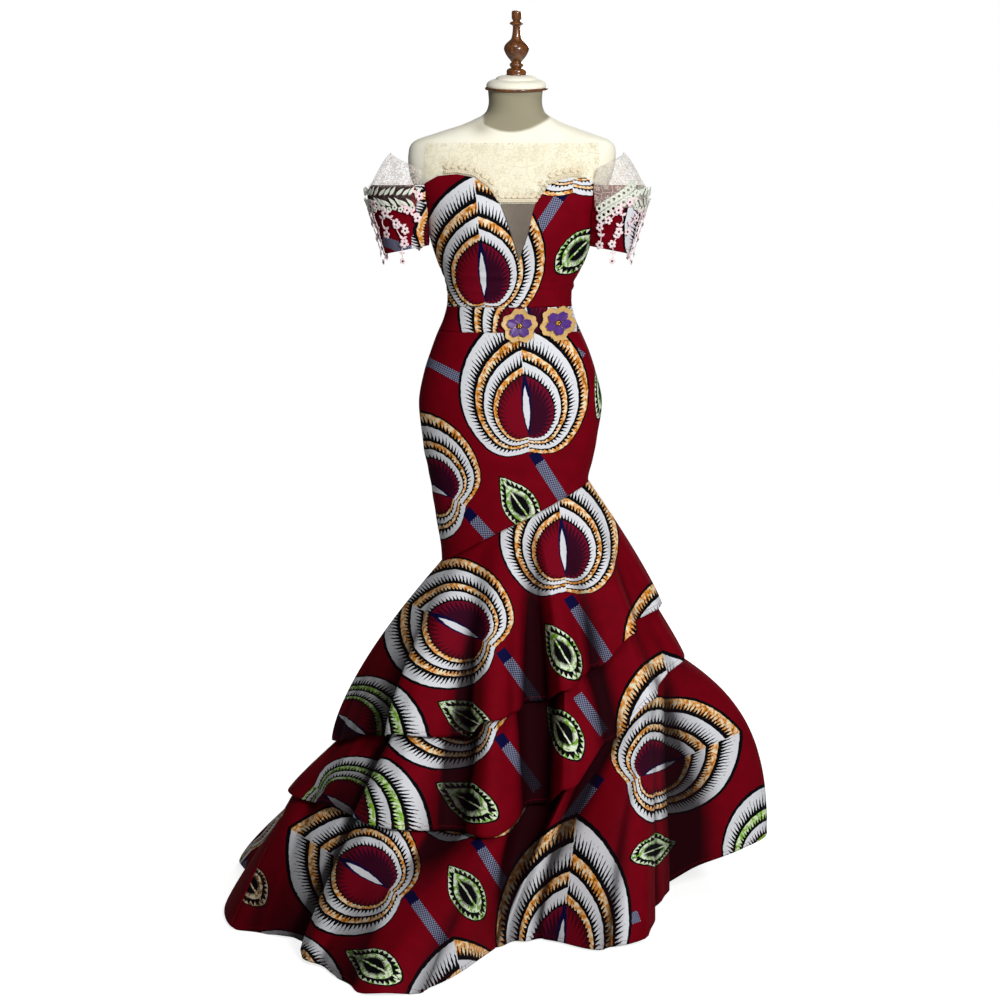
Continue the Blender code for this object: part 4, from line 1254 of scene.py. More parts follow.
CREASES = {number: [Crease(*row) for row in rows] for number, rows in {
    1: [(188, .30, -9, 3.5, 4), (202, .45, 7, 3), (215, .10, -14, 3.6, 2, 6), (225, .20, 8, 3.4), (241, .40, 5, 2.6, 5),
        (249, .08, -12, 4.2, 2), (263, .20, 7, 4), (271, .35, -6, 2.2), (280, .02, -20, 4.6), (291, .15, 8, 3.4),
        (299, .45, -5, 2.4, -2), (306, .12, -13, 4.2), (321, .25, 7, 4), (333, .30, -10, 4.4, 2), (350, .30, 6, 4),
        (12, .25, -10, 5), (35, .25, 8, 5, 4), (58, .30, -11, 4.6), (80, .10, -13, 5, -3), (103, .35, 8, 5),
        (124, .20, -12, 4.4, 3), (147, .35, 7, 4), (168, .20, -11, 4.8)],
    2: [(197, .10, -11, 4), (217, .00, -14, 3.6, 2, 6), (229, .10, 8, 3.4), (249, .00, -14, 4.2), (261, .20, 7, 3),
        (279, .00, -20, 4.6), (290, .15, 8, 3.2), (306, .05, -14, 4.4), (319, .20, 8, 3.4), (331, .15, -10, 4, -2),
        (350, .15, 7, 4), (16, .10, -11, 5), (46, .20, 8, 5), (66, .10, -13, 4.6, 3), (92, .10, -12, 5),
        (118, .20, 8, 4.6), (142, .10, -13, 4.6, -3), (164, .30, 8, 4)],
    3: [(206, .10, -14, 3.4), (216, .10, -14, 3.4, 2, 5), (228, .20, 10, 3.2), (241, .05, -18, 3.4, -2, 2.2),
        (249, .30, 10, 2.4), (256, .02, -18, 2.4), (263, .25, 10, 2.4), (272, .20, -12, 3.2), (284, .30, 9, 3, 2),
        (299, .08, -18, 4.2), (310, .30, 10, 3.4), (326, .15, -14, 4, -3), (340, .25, 9, 4), (356, .15, -16, 4.4),
        (8, .35, 10, 3.4), (28, .10, -16, 4.4, 3), (52, .30, 12, 4), (68, .15, -16, 4), (92, .10, -16, 4.4, -3),
        (113, .20, 12, 4), (134, .15, -17, 4), (157, .25, 12, 4, 2), (176, .15, -16, 4.4)],
}.items()}

# Crests and troughs of each hem by turns: angle, radius, height, and how soon the cloth above swings out.
HEM_FOLDS = {
    1: [(180, .350, .320, .45), (212, .300, .362, .40), (232, .325, .386, .40), (250, .265, .379, .35),
        (262, .300, .421, .35), (284, .235, .443, .30), (289, .290, .472, .30), (306, .270, .502, .25),
        (322, .287, .560, .20), (338, .268, .578, .15), (360, .293, .590, .15), (381, .255, .575, .20),
        (404, .285, .545, .25), (427, .250, .510, .30), (450, .290, .470, .30), (473, .255, .430, .35),
        (496, .300, .390, .40), (519, .290, .350, .40)],
    2: [(184, .435, .225, .10), (210, .385, .232, .20), (236, .400, .229, .30), (252, .315, .215, .30),
        (263, .345, .215, .40), (281, .275, .257, .40), (287, .330, .297, .40), (305, .315, .369, .30),
        (320, .335, .441, .20), (340, .320, .475, .10), (358, .337, .490, .10), (382, .315, .475, .20),
        (406, .355, .440, .20), (428, .325, .400, .30), (452, .375, .355, .30), (475, .340, .310, .30),
        (498, .395, .270, .30), (522, .385, .240, .20)],
    3: [(201, .566, .004, .10), (214, .492, .004, .20), (230, .545, .004, .20), (246, .634, .004, .20),
        (255, .605, .004, .10), (264, .325, .004, .20), (273, .300, .004, .50), (282, .275, .004, .80),
        (297, .390, .004, .30), (346, .312, .050, 1.0), (373, .522, .110, 1.9), (395, .500, .075, 1.5),
        (417, .600, .035, 1.0), (438, .550, .008, .80), (460, .660, .004, .40), (482, .600, .004, .40),
        (505, .650, .004, .20), (528, .550, .004, .20)],
}


@dataclass
class Flounces(Assembly):
    """The three slanted flounces, each sewn inside the one above it."""

    bodice: FittedBodice
    steps: int = 24
    side_fold: int = 10
    tuck: float = 0.014
    seam_tuck: float = 0.0026
    seam_levels: tuple[float, ...] = (0.0, 0.8, 0.7)
    rows: tuple[int, ...] = (60, 34, 84)
    lap_rows: int = 8
    lap_shade: float = 0.6
    top_shade: float = 0.45
    top_fade: float = 0.07
    fine_folds: tuple[int, float] = (8, 0.0055)
    wide_folds: tuple[int, float] = (20, 0.018)
    hem: float = 0.010
    lowest: float = 0.004
    full_shade_mm: float = 16.0

    def hem_columns(self, number: int) -> Array:
        """Hem values at each column, eased from each crest or trough to the next.

        Args:
            number: the flounce's number.

        Returns:
            Angle, radius, height and swing of each column.
        """
        table = np.array(HEM_FOLDS[number], float)
        following = np.roll(table, -1, axis=0)
        following[-1, 0] += 360.0
        share = np.arange(self.steps) / self.steps
        soft = share * share * (3 - 2 * share)
        mix = np.stack([share, soft, soft, soft], axis=-1)
        return (table[:, None] + (following - table)[:, None] * mix[None]).reshape(-1, 4)

    def flared(self, starts: Array, columns: Array, levels: Array) -> Cloth:
        """Swings a cloth out and down to its hem.

        Args:
            starts: the top points.
            columns: hem values at each column.
            levels: levels of the rows, from 0 at the top to 1 at the hem.

        Returns:
            The smooth cloth.
        """
        angle, radius, height, swing = columns.T
        ends = np.stack([radius * np.cos(np.radians(angle)), radius * np.sin(np.radians(angle)), height], axis=-1)
        level = levels[:, None]
        out = 1 - (1 - level) ** (1 + swing)
        return Cloth(starts + (ends - starts) * np.stack([out, out, level + 0 * out], axis=-1), True)

    def creased(self, cloth: Cloth, columns: Array, levels: Array, number: int) -> Cloth:
        """Presses the smaller creases in along the cloth's normals.

        Args:
            cloth: the smooth cloth.
            columns: hem values at each column.
            levels: level of each row.
            number: the flounce's number.

        Returns:
            The creased cloth.
        """
        push = np.zeros(cloth.points.shape[:2])
        # Painted shade darkens the top of this one, under the flounce above.
        shade = push + (self.top_shade * np.exp(-levels / self.top_fade)[:, None] if number > 1 else 0)
        for crease in CREASES[number]:
            ramp = np.clip((levels - crease.start) / (1 - crease.start), 0, 1)[:, None]
            ramp = ramp * ramp * (3 - 2 * ramp)
            middle = crease.angle + crease.lean * (1 - levels)
            off = (columns[None, :, 0] - middle[:, None] + 180) % 360 - 180
            push += crease.depth / MM * ramp * np.exp(-(off / crease.width) ** 2)
            if crease.depth < 0:
                # Painted shade gathers on a trough's left and ends at the sharp edge on its right.
                reach = crease.width * np.where(off > 0, 0.55, crease.spread)
                strength = min(1.0, -crease.depth / self.full_shade_mm * max(1.0, crease.spread / 4.5))
                shade = np.maximum(shade, strength * np.sqrt(ramp) * np.exp(-(off / reach) ** 2))
        creased = cloth.moved(push)
        creased.points[..., 2] = np.maximum(creased.points[..., 2], self.lowest)
        creased.folds = shade
        return creased

    def lap(self, upper: Cloth, levels: Array, seam_level: float) -> Array:
        """Rows inside the flounce above, from its seam to the level of that flounce's hem.

        Args:
            upper: the flounce above.
            levels: level of each of its rows.
            seam_level: level of the seam.

        Returns:
            The rows' points.
        """
        rows = []
        for share in np.linspace(0, 1, self.lap_rows):
            row = float(np.interp(seam_level + (1 - seam_level) * share, levels, np.arange(len(levels))))
            low = min(math.floor(row), len(levels) - 2)
            point, normal = (side[low] * (1 - row + low) + side[low + 1] * (row - low)
                             for side in (upper.points, upper.normals))
            normal = unit(sum(np.roll(normal, step, axis=0) for step in range(-4, 5)))
            inward = normal * (1 - share) + unit(normal * np.array([1.0, 1.0, 0.0])) * share
            rows.append(point - inward * (self.seam_tuck * (1 - share) + self.tuck * share))
        return np.stack(rows)

    def build(self) -> None:
        """Builds the flounces from the top one down, each in a front and a back piece."""
        upper = levels = None
        for number in (1, 2, 3):
            columns = self.hem_columns(number)
            if upper is None:
                angles = np.radians(columns[:, 0])
                lap = (SHAPE.points(angles, self.bodice.slant(angles)) - np.array([0, 0, SEAM_GAP]))[None]
            else:
                lap = self.lap(upper, levels, self.seam_levels[number - 1])
            levels = np.linspace(0, 1, self.rows[number - 1] + 1)
            upper = self.creased(self.flared(lap[-1], columns, levels), columns, levels, number)
            whole = Cloth(np.concatenate([lap[:-1], upper.points]), True, angles=columns[:, 0] % 360, slanted=True)
            # The rows hidden inside the flounce above get painted shade, and so do troughs under the cloth's smoothed
            # shape.
            shade = np.concatenate([np.full((len(lap) - 1, len(columns)), self.lap_shade), upper.folds])
            for reach, deepest in (self.fine_folds, self.wide_folds):
                shade = np.maximum(shade, whole.find_folds(reach, deepest))
            whole.folds = shade
            self.cut(whole, number)

    def cut(self, cloth: Cloth, number: int) -> None:
        """Cuts a closed flounce into its front and back pieces and makes them.

        Args:
            cloth: the flounce.
            number: its number.
        """
        above = f"flounce_{number - 1}" if number > 1 else "skirt"
        side = self.side_fold * self.steps
        for half, first, last in (("front", 0, side), ("back", side, cloth.points.shape[1])):
            carrier = f"{above}_{half}" if number > 1 or half == "front" else "skirt_back_left"
            self.sew(f"flounce_{number}_{half}", cloth.panel(first, last), Held.HUNG, "cotton_" + carrier, self.hem)


# Small forms

Form = tuple[Array, Array]


@dataclass(frozen=True)
class Spot:
    """A point on the cloth with its right, up and outward directions."""

    here: Array
    right: Array
    up: Array
    out: Array

    def leaned(self, angle: float) -> Spot:
        """The spot turned round its outward direction."""
        return Spot(self.here, *leaned(self.right, self.up, angle), self.out)

    def place(self, points: Array) -> Array:
        """Moves points across, up and out from the spot."""
        return self.here + points[:, :1] * self.right + points[:, 1:2] * self.up + points[:, 2:] * self.out


@dataclass
class MotherMesh:
    """Many small forms joined into one mesh."""

    points: list[Array] = field(default_factory=list)
    faces: list[list[int]] = field(default_factory=list)
    count: int = 0

    def join(self, points: Array, faces: Array | list) -> None:
        """Adds a form.

        Args:
            points: its points.
            faces: corner numbers of each of its faces.
        """
        self.points.append(points)
        self.faces += [[corner + self.count for corner in face] for face in faces]
        self.count += len(points)

    def put(self, spot: Spot, form: Form) -> None:
        """Adds a small form at a spot."""
        self.join(spot.place(form[0]), form[1])

    def make(self, name: str, material: bpy.types.Material) -> bpy.types.Object:
        """Makes the joined mesh's object."""
        return add_mesh(name, np.concatenate(self.points), self.faces, material)


def thin_form(x: Array, y: Array, top: Array, bottom: Array | float, closed: bool = False,
              mirrored: bool = False) -> Form:
    """A thin closed form over a grid, which lies in the XY plane and faces +Z.

    Args:
        x: place across at each point of the grid.
        y: place along.
        top: height of its upper side.
        bottom: height of its lower side.
        closed: whether the grid's last column joins the first.
        mirrored: whether the grid's rows and columns are left-handed.

    Returns:
        Points and faces.
    """
    sides = [np.stack(np.broadcast_arrays(x, y, z), axis=-1).reshape(-1, 3) for z in (top, bottom)]
    outer = grid_faces(*np.broadcast(x, y).shape, closed)
    return np.concatenate(sides), wall_faces(outer[:, [0, 3, 2, 1]] if mirrored else outer, len(sides[0]))


def flower_form(petals: int, radius: float, thickness: float, notch: float, cup: float, rings: int,
                spokes: int, hole: float = 0.04) -> Form:
    """A small flower with rounded petals.

    Args:
        petals: number of petals.
        radius: radius to the petals' tips.
        thickness: its thickness.
        notch: depth of the notches between petals, as a share.
        cup: how far the petals' tips rise.
        rings: rings from the middle out.
        spokes: points round each ring.
        hole: radius of a hole at the middle, as a share.

    Returns:
        Points and faces.
    """
    turns = ring_turns(spokes)
    lobe = np.abs(np.cos(petals * turns / 2)) ** 0.6
    share = np.linspace(hole, 1, rings)[:, None]
    reach = radius * share * (1 - notch * (1 - lobe) * share)
    rise = cup * share * share + 0.35 * thickness * np.sin(math.pi * share) * lobe
    half = thickness / 2 * (1 - 0.6 * share ** 4)
    return thin_form(reach * np.cos(turns), reach * np.sin(turns), rise + half, rise - half, True)


def leaf_form(length: float, half: float) -> Form:
    """A pointed lace leaf with a raised midrib and rim, which grows up from its foot.

    Args:
        length: its length.
        half: half its width.

    Returns:
        Points and faces.
    """
    along = np.linspace(0, 1, 9)[:, None]
    width = half * np.maximum(np.sin(math.pi * along ** 0.8), 0.06)
    across = np.array([-1.0, -0.6, 0.0, 0.6, 1.0])
    rises = np.array([0.0009, 0.0002, 0.0011, 0.0002, 0.0009])
    return thin_form(width * across, length * along + 0 * across, rises, -0.0004, mirrored=True)


def strand_form(path: Array, radius: float) -> Form:
    """A round thread along a path, closed at its ends.

    Args:
        path: points of its middle.
        radius: its radius.

    Returns:
        Points and faces.
    """
    sides = 6
    tangent = unit(np.gradient(path, axis=0))
    guide = np.where(np.abs(tangent[:, 2:]) > 0.9, np.array([[1.0, 0, 0]]), np.array([[0, 0, 1.0]]))
    first = unit(np.cross(tangent, guide))
    second = np.cross(tangent, first)
    turns = ring_turns(sides)[None, :, None]
    points = (path[:, None] + (np.cos(turns) * first[:, None] + np.sin(turns) * second[:, None]) * radius)
    ends = np.arange(sides)
    return points.reshape(-1, 3), [*grid_faces(len(path), sides, True)[:, [0, 3, 2, 1]], ends[::-1],
                                   (len(path) - 1) * sides + ends]


# The yoke and the inset

@dataclass
class NetYoke(Assembly):
    """The embroidered net yoke over the chest and shoulders, and the taupe inset in the V."""

    top: float = 1.470
    share: float = 0.82
    gap: float = 0.0010
    inset_top: float = 1.357
    inset_shares: tuple[float, float] = (-0.110, 0.245)
    steep_gap: float = 0.0036
    back_top: float = 1.360
    rows: int = 40
    lace_shares: tuple[float, float, int] = (-0.62, 0.66, 62)
    lace_rise: float = 0.0052
    lace_lift: float = 0.0009

    def lower_edge(self, shares: Array) -> Array:
        """Height of the yoke's lower edge at shares of the half width."""
        return np.maximum(edge_height(shares) + self.gap, self.inset_top + SEAM_GAP)

    def edge_lace(self) -> None:
        """Builds the row of small lace flowers and leaves along the yoke's lower edge."""
        lace = MotherMesh()
        for index, share in enumerate(np.linspace(*self.lace_shares)):
            shares = np.array([share - 0.01, share, share + 0.01])
            low = self.lower_edge(shares) + self.lace_rise
            before, here, after = SHAPE.points(share_angle(shares), low)
            above = SHAPE.points(share_angle(shares), low + 0.004)[1]
            right = unit(after - before)
            out = unit(np.cross(right, unit(above - here)))
            spot = Spot(here + out * self.lace_lift, right, np.cross(out, right), out)
            lace.put(spot, flower_form(5, 0.0040, 0.0011, 0.40, 0.0, 3, 20, 0.25))
            if index % 3 == 1:
                above = replace(spot, here=spot.here + spot.up * 0.004)
                for lean in (-0.7, 0.0, 0.7):
                    lace.put(above.leaned(lean), leaf_form(0.0115, 0.0022))
        settle(lace.make("lace_yoke_edge", self.finishes.yoke_lace))

    def build(self) -> None:
        """Builds the yoke's front and back, its lace edge and the inset."""
        shares = np.linspace(-self.share, self.share, 141)
        front = fitted(share_angle(shares), self.top, self.lower_edge(shares), self.rows, False)
        back = fitted(-share_angle(shares[::-1]), self.top, self.back_top + SEAM_GAP, self.rows, False)
        for side, cloth in (("front", front), ("back", back)):
            piece = cloth.shell("net_yoke_" + side, NET_WALL, self.finishes.net)
            declare(piece, "yoke_" + side, cloth, Held.STRETCHED)
        self.edge_lace()
        shares = np.linspace(*self.inset_shares, 61)
        bottoms = np.minimum(edge_height(shares) + self.steep_gap, self.inset_top - 0.001)
        inset = fitted(share_angle(shares), self.inset_top, bottoms, 24, False)
        piece = inset.shell("mesh_neck_inset", NET_WALL, self.finishes.mesh)
        declare(piece, "neck_inset", inset, Held.STRETCHED)


# The sleeves and their lace

class Side(Enum):
    """A side of the dress as seen from the front."""

    LEFT = -1
    RIGHT = 1

    @property
    def word(self) -> str:
        """The side's name in a node."""
        return self.name.lower()


# Stems of the chains, by their marks: turn from the sleeve's outer side, negative to the front, height, and
# 1 where a flower sits.
SPRAYS = {
    Side.LEFT: [
        [(-24, 1.364, 0), (-41, 1.356, 1), (-62, 1.339, 1), (-79, 1.322, 1), (-94, 1.307, 1)],
        [(-62, 1.339, 0), (-50, 1.318, 0), (-56, 1.300, 1)],
        [(-79, 1.322, 0), (-82, 1.300, 0), (-91, 1.283, 1)],
        [(-94, 1.354, 0), (-99, 1.345, 1), (-108, 1.340, 0), (-117, 1.330, 1)],
        [(-112, 1.382, 0), (-118, 1.371, 1)],
        [(-16, 1.352, 0), (-24, 1.326, 1), (-30, 1.296, 1)],
    ],
    Side.RIGHT: [
        [(-52, 1.366, 0), (-65, 1.360, 1), (-82, 1.345, 1), (-98, 1.326, 1), (-113, 1.313, 1), (-114, 1.280, 1)],
        [(-40, 1.352, 0), (-46, 1.330, 1), (-59, 1.305, 1)],
        [(-82, 1.345, 0), (-72, 1.325, 0), (-77, 1.305, 1), (-88, 1.282, 1)],
        [(-20, 1.354, 0), (-26, 1.334, 1)],
    ],
}
PENDANTS = [
    [(-34, 1.350, 0), (-33, 1.322, 1), (-32, 1.298, 1), (-33, 1.274, 1), (-31, 1.248, 1)],
    [(-8, 1.350, 0), (-9, 1.318, 1), (-8, 1.290, 1), (-9, 1.262, 1)],
    [(36, 1.350, 0), (37, 1.316, 1), (36, 1.286, 1), (37, 1.256, 1)],
    [(-86, 1.276, 0), (-86, 1.250, 1)],
]


@dataclass
class LaceSleeve(Assembly):
    """A short printed sleeve with a lace cap over it and chains of lace flowers that hang from the cap."""

    side: Side
    top: float = 1.392
    cuff: float = 1.262
    cuff_rise: float = 0.017
    hem: float = 0.008
    columns: int = 120
    rows: int = 44
    shift: float = -0.007
    clearance: float = 0.0016
    cap_lift: float = 0.0032
    band: tuple[float, float] = (1.346, 1.396)
    band_edge: float = 0.006
    band_shade: float = 0.96
    band_end: float = 108.0
    cap_reach: float = math.radians(122.0)
    cap_top: float = 1.455
    cap_drop: float = 0.035
    cap_bottom: float = 1.350
    cap_columns: int = 60
    cap_rows: int = 40
    lace_lift: float = 0.0044
    chain_lift: float = 0.0045
    flower_radius: float = 0.0086
    pendant_size: float = 0.72
    leaves: int = 24
    scallops: int = 24
    strips_end: float = -52.0

    def arm(self, turns: Array, heights: Array, out: float = 0.0) -> Array:
        """Points round the sleeve.

        Args:
            turns: turns in radians, 0 at its outer side.
            heights: heights, of the same shape.
            out: distance that the surface is moved out.

        Returns:
            An array of points.
        """
        _, outer, inner, half = np.moveaxis(read_smoothly(SLEEVE_RINGS, heights), -1, 0)
        across = (outer - inner) / 2 + out
        x = self.side.value * ((outer + inner) / 2 + across * np.cos(turns)) + self.shift
        y = (half + out) * np.sin(turns)
        return SHAPE.cleared(np.stack([x, y, heights + 0 * x], axis=-1), self.clearance + out)

    def cloth(self, turns: Array, tops: float | Array, bottoms: Array, rows: int, out: float) -> Cloth:
        """Lays a cloth round the sleeve, with its columns anticlockwise as seen from above.

        Args:
            turns: turn of each column.
            tops: height of its upper edge.
            bottoms: height of its lower edge.
            rows: rows of faces.
            out: distance from the sleeve.

        Returns:
            The cloth, closed if it lies on the sleeve's own surface.
        """
        heights = tops + (bottoms - tops) * np.linspace(0, 1, rows + 1)[:, None]
        points, angles = self.arm(turns + 0 * heights, heights, out), np.degrees(turns)
        if self.side is Side.LEFT:
            points, angles = points[:, ::-1], angles[::-1]
        return Cloth(points, not out, angles=angles)

    def spot(self, degrees: float, height: float, out: float) -> Spot:
        """Finds a spot over the sleeve, or straight under it where the height is past its cuff.

        Args:
            degrees: turn from its outer side.
            height: height in metres.
            out: distance from the sleeve.

        Returns:
            The spot.
        """
        turn, level = math.radians(degrees), max(height, self.cuff)
        here, beside, above, below = self.arm(np.array([turn, turn + 0.01, turn, turn]),
                                              level + np.array([0, 0, 0.004, -0.004]), out)
        right, up = unit(beside - here) * self.side.value, unit(above - below)
        outward = unit(np.cross(right, up))
        if np.dot(outward, here - self.arm(np.array([turn]), np.array([level]), out - 0.01)[0]) < 0:
            outward, right = -outward, -right
        return Spot(here + np.array([0.0, 0.0, height - level]), right, np.cross(outward, right), outward)

    def build(self) -> None:
        """Builds the sleeve, its cap, the cap's leaves and scallops, and the chains."""
        self.sleeve()
        self.cap()
        self.lace_band()
        self.chains()

    def sleeve(self) -> None:
        """Builds the printed sleeve with soft drag folds."""
        turns = ring_turns(self.columns) - math.pi
        # The cuff rises a little towards the body.
        cuffs = self.cuff + self.cuff_rise * (1 - np.cos(turns)) / 2
        grid = self.cloth(turns, self.top, cuffs, self.rows, 0.0)
        share = np.linspace(0, 1, self.rows + 1)[:, None]
        fold = np.sin(5 * np.radians(grid.angles) + 2.2 * share) * 0.0011 - 0.0008
        grid = grid.moved(fold * np.sin(math.pi * share))
        # Under the band of lace the cotton gets painted shade, which ends short of the bodice.
        height = grid.points[..., 2]
        low, high = self.band
        band = np.clip((height - low) / self.band_edge, 0, 1) * np.clip((high - height) / self.band_edge, 0, 1)
        start = -self.band_end if self.side is Side.LEFT else self.strips_end
        grid.folds = self.band_shade * band * ((grid.angles > start) & (grid.angles < self.band_end))
        self.sew(f"sleeve_{self.side.word}", grid, Held.HUNG, f"net_lace_cap_{self.side.word}_front", self.hem)

    def cap(self) -> None:
        """Builds the sheer net cap in two halves."""
        turns = np.linspace(-self.cap_reach, self.cap_reach, 2 * self.cap_columns + 1)
        tops = self.cap_top - self.cap_drop * np.abs(turns / self.cap_reach) ** 1.5
        grid = self.cloth(turns, tops, self.cap_bottom, self.cap_rows, self.cap_lift)
        names = ("front", "back") if self.side is Side.RIGHT else ("back", "front")
        for index, name in enumerate(names):
            node = f"lace_cap_{self.side.word}_{name}"
            panel = grid.panel(index * self.cap_columns, (index + 1) * self.cap_columns)
            strips = self.side is Side.RIGHT and name == "front"
            net = self.finishes.strip_net if strips else self.finishes.sleeve_net
            declare(panel.shell("net_" + node, NET_WALL, net), node, panel, Held.DRAPED)

    def lace_band(self) -> None:
        """Builds the open band of slanting lace leaves over a scalloped edge of small flowers."""
        lace = MotherMesh()
        start = self.strips_end if self.side is Side.RIGHT else -180.0
        for index, turn in enumerate(np.linspace(-106, 112, self.leaves)):
            for height, lean, length in ((1.3525, 0.85, 0.0225), (1.3725, -0.75, 0.0205)):
                if turn >= start:
                    spot = self.spot(turn - 5.0, height, self.lace_lift)
                    lace.put(spot.leaned(lean + 0.16 * math.sin(index * 1.9)), leaf_form(length, 0.0031))
        for index, turn in enumerate(np.linspace(-108, 114, self.scallops)):
            if turn >= start:
                height = 1.3500 - 0.0045 * abs(math.sin(index * math.pi / 3))
                lace.put(self.spot(turn, height, self.lace_lift),
                         flower_form(5, 0.0058, 0.0014, 0.42, 0.0, 3, 25, 0.30))
        if self.side is Side.RIGHT:
            self.eyelet_strips(lace)
        settle(lace.make(f"lace_leaves_{self.side.word}", self.finishes.guipure))

    def eyelet_strips(self, lace: MotherMesh) -> None:
        """Adds the two slanting strips of eyelets at the front.

        Args:
            lace: the mesh to add them to.
        """
        for drop in (0.0, 0.017):
            for turn, height in zip(np.linspace(-114, self.strips_end, 9), np.linspace(1.348, 1.394, 9) - drop):
                lace.put(self.spot(turn, height, self.lace_lift),
                         flower_form(7, 0.0072, 0.0014, 0.12, 0.0, 3, 28, 0.40))
            for side in (-0.0068, 0.0068):
                path = [self.spot(turn, height + side, self.lace_lift).here
                        for turn, height in zip(np.linspace(-116, self.strips_end, 25),
                                                np.linspace(1.3465, 1.394, 25) - drop)]
                lace.join(*strand_form(np.array(path), 0.0010))

    def sprays(self) -> list[tuple[list[tuple[float, float, float]], float]]:
        """Lists the stems of this side: the front's, the other front's mirrored to the back, and the pendants.

        Returns:
            Each stem's marks with the size of its flowers.
        """
        other = Side.LEFT if self.side is Side.RIGHT else Side.RIGHT
        back = [[(4 - turn, height - 0.004, flower) for turn, height, flower in stem] for stem in SPRAYS[other]]
        return ([(stem, 1.0) for stem in SPRAYS[self.side] + back]
                + [(stem, self.pendant_size) for stem in PENDANTS])

    def chains(self) -> None:
        """Builds the stems and pendant chains of five-petal flowers with dark glass beads and leaf pairs."""
        lace, beads = MotherMesh(), MotherMesh()
        eye = flower_form(1, 0.0021, 0.0012, 0.0, 0.0, 3, 12)
        for index, (stem, size) in enumerate(self.sprays()):
            marks = np.array(stem)
            share = np.linspace(0, len(stem) - 1, 8 * (len(stem) - 1) + 1)
            turns, heights = (np.interp(share, range(len(stem)), marks[:, c]) for c in (0, 1))
            # Each stem bows between its flowers.
            turns = turns + 2.5 * np.sin(math.pi * share) * size
            path = [self.spot(turn, height, self.chain_lift).here for turn, height in zip(turns, heights)]
            lace.join(*strand_form(np.array(path), 0.0009))
            for number, (turn, height, flower) in enumerate(stem):
                if flower:
                    spot = self.spot(turn, height, self.chain_lift + 0.0010)
                    radius = self.flower_radius * size * (1.0 + 0.08 * math.sin(index * 3.1 + number * 1.3))
                    lace.put(spot.leaned(index * 0.9 + number * 2.1),
                             flower_form(5, radius, 0.0013, 0.42, 0.0010, 4, 30))
                    beads.put(replace(spot, here=spot.here + spot.out * 0.0011), eye)
            for middle in range(4, len(share) - 1, 8):
                spot = self.spot(turns[middle], heights[middle], self.chain_lift)
                for lean in (-1.0, 0.8):
                    lace.put(spot.leaned(lean), leaf_form(0.0095 * size, 0.0026 * size))
        word = self.side.word
        settle(lace.make(f"lace_flower_chains_{word}", self.finishes.chain), f"flower_chains_{word}")
        settle(beads.make(f"flower_eyes_{word}", self.finishes.bead))


@dataclass
class BeltFlower(Assembly):
    """A satin flower sewn on the waistband: five gold petals under five purple ones, and its middle."""

    name: str
    across: float
    height: float
    first_turn: float
    petals: int = 5
    steps: int = 12

    def on_band(self, x: float, z: float) -> Array:
        """Finds a point of the band's front.

        Args:
            x: how far it is to the right.
            z: its height.

        Returns:
            The point.
        """
        section = read_smoothly(BODY, np.array([z]))[0]
        share = np.array([(x - section[4]) / section[1]])
        return SHAPE.points(share_angle(share), np.array([z]))[0]

    def laid(self, points: Array) -> Array:
        """Lays a flat form on the band.

        Args:
            points: its points, from the flower's middle.

        Returns:
            The points on the band.
        """
        result = []
        for x, z, rise in points + np.array([self.across, self.height, 0.0]):
            right = unit(self.on_band(x + 0.004, z) - self.on_band(x - 0.004, z))
            up = unit(self.on_band(x, z + 0.004) - self.on_band(x, z - 0.004))
            result.append(self.on_band(x, z) + unit(np.cross(right, up)) * rise)
        return np.array(result)

    def petal(self, turn: float, length: float, width: float, lift: float, curl: float, notch: float) -> Form:
        """A broad petal with a notched tip, a crease along its middle and a cupped edge.

        Args:
            turn: its direction from the flower's middle.
            length: its length.
            width: half its width.
            lift: its height over the band.
            curl: how far its tip rises.
            notch: depth of the notch, as a share.

        Returns:
            Points and faces.
        """
        r = np.arange(self.steps + 1)[:, None] / self.steps
        c = 2 * np.arange(self.steps + 1) / self.steps - 1
        half = width * (0.22 + 0.78 * np.sin(math.pi / 2 * np.minimum(1.0, 1.2 * r)))
        reach = length * (0.06 + 0.94 * r) * (1 - notch * np.maximum(0.0, 1 - np.abs(c) * 2.2) * r ** 6
                                              - 0.30 * np.abs(c) ** 2.2 * r ** 2)
        rise = lift + curl * r * r + 0.0009 * np.abs(c) ** 1.5 * (0.4 + r) + 0.0004 * np.sin(6 * c) * r
        side = c * half * (1 - 0.22 * r ** 3 * np.abs(c))
        points, faces = thin_form(reach * math.cos(turn) - side * math.sin(turn),
                                  reach * math.sin(turn) + side * math.cos(turn), rise + 0.0005, rise - 0.0004)
        return self.laid(points), faces

    def build(self) -> None:
        """Builds both rings of petals, and the middle with its stamens."""
        rings = (("gold", self.finishes.gold, 0.0350, 0.0178, 0.0022, 0.0034, 0.10),
                 ("purple", self.finishes.purple, 0.0242, 0.0100, 0.0056, 0.0030, 0.10))
        for colour, material, length, width, lift, curl, notch in rings:
            mesh = MotherMesh()
            for step in range(self.petals):
                turn = self.first_turn + FULL_TURN * step / self.petals
                mesh.join(*self.petal(turn, length, width, lift + 0.0003 * (step % 2), curl, notch))
            settle(mesh.make(f"satin_{colour}_petals_{self.name}", material),
                   f"belt_flower_{self.name}_{colour}")
        mesh = MotherMesh()
        points, faces = flower_form(5, 0.0058, 0.0030, 0.25, 0.0, 5, 30)
        mesh.join(self.laid(points + np.array([0, 0, 0.0078])), faces)
        for step in range(self.petals):
            turn = self.first_turn + FULL_TURN * (step + 0.5) / self.petals
            path = [(r * math.cos(turn), r * math.sin(turn), 0.0066 + r * 0.12) for r in np.linspace(0.005, 0.014, 6)]
            mesh.join(*strand_form(self.laid(np.array(path)), 0.0005))
        settle(mesh.make(f"gold_flower_middle_{self.name}", self.finishes.brass))


# The dress form: radius and height of its turned pieces, from the top of the axis to the bottom of it

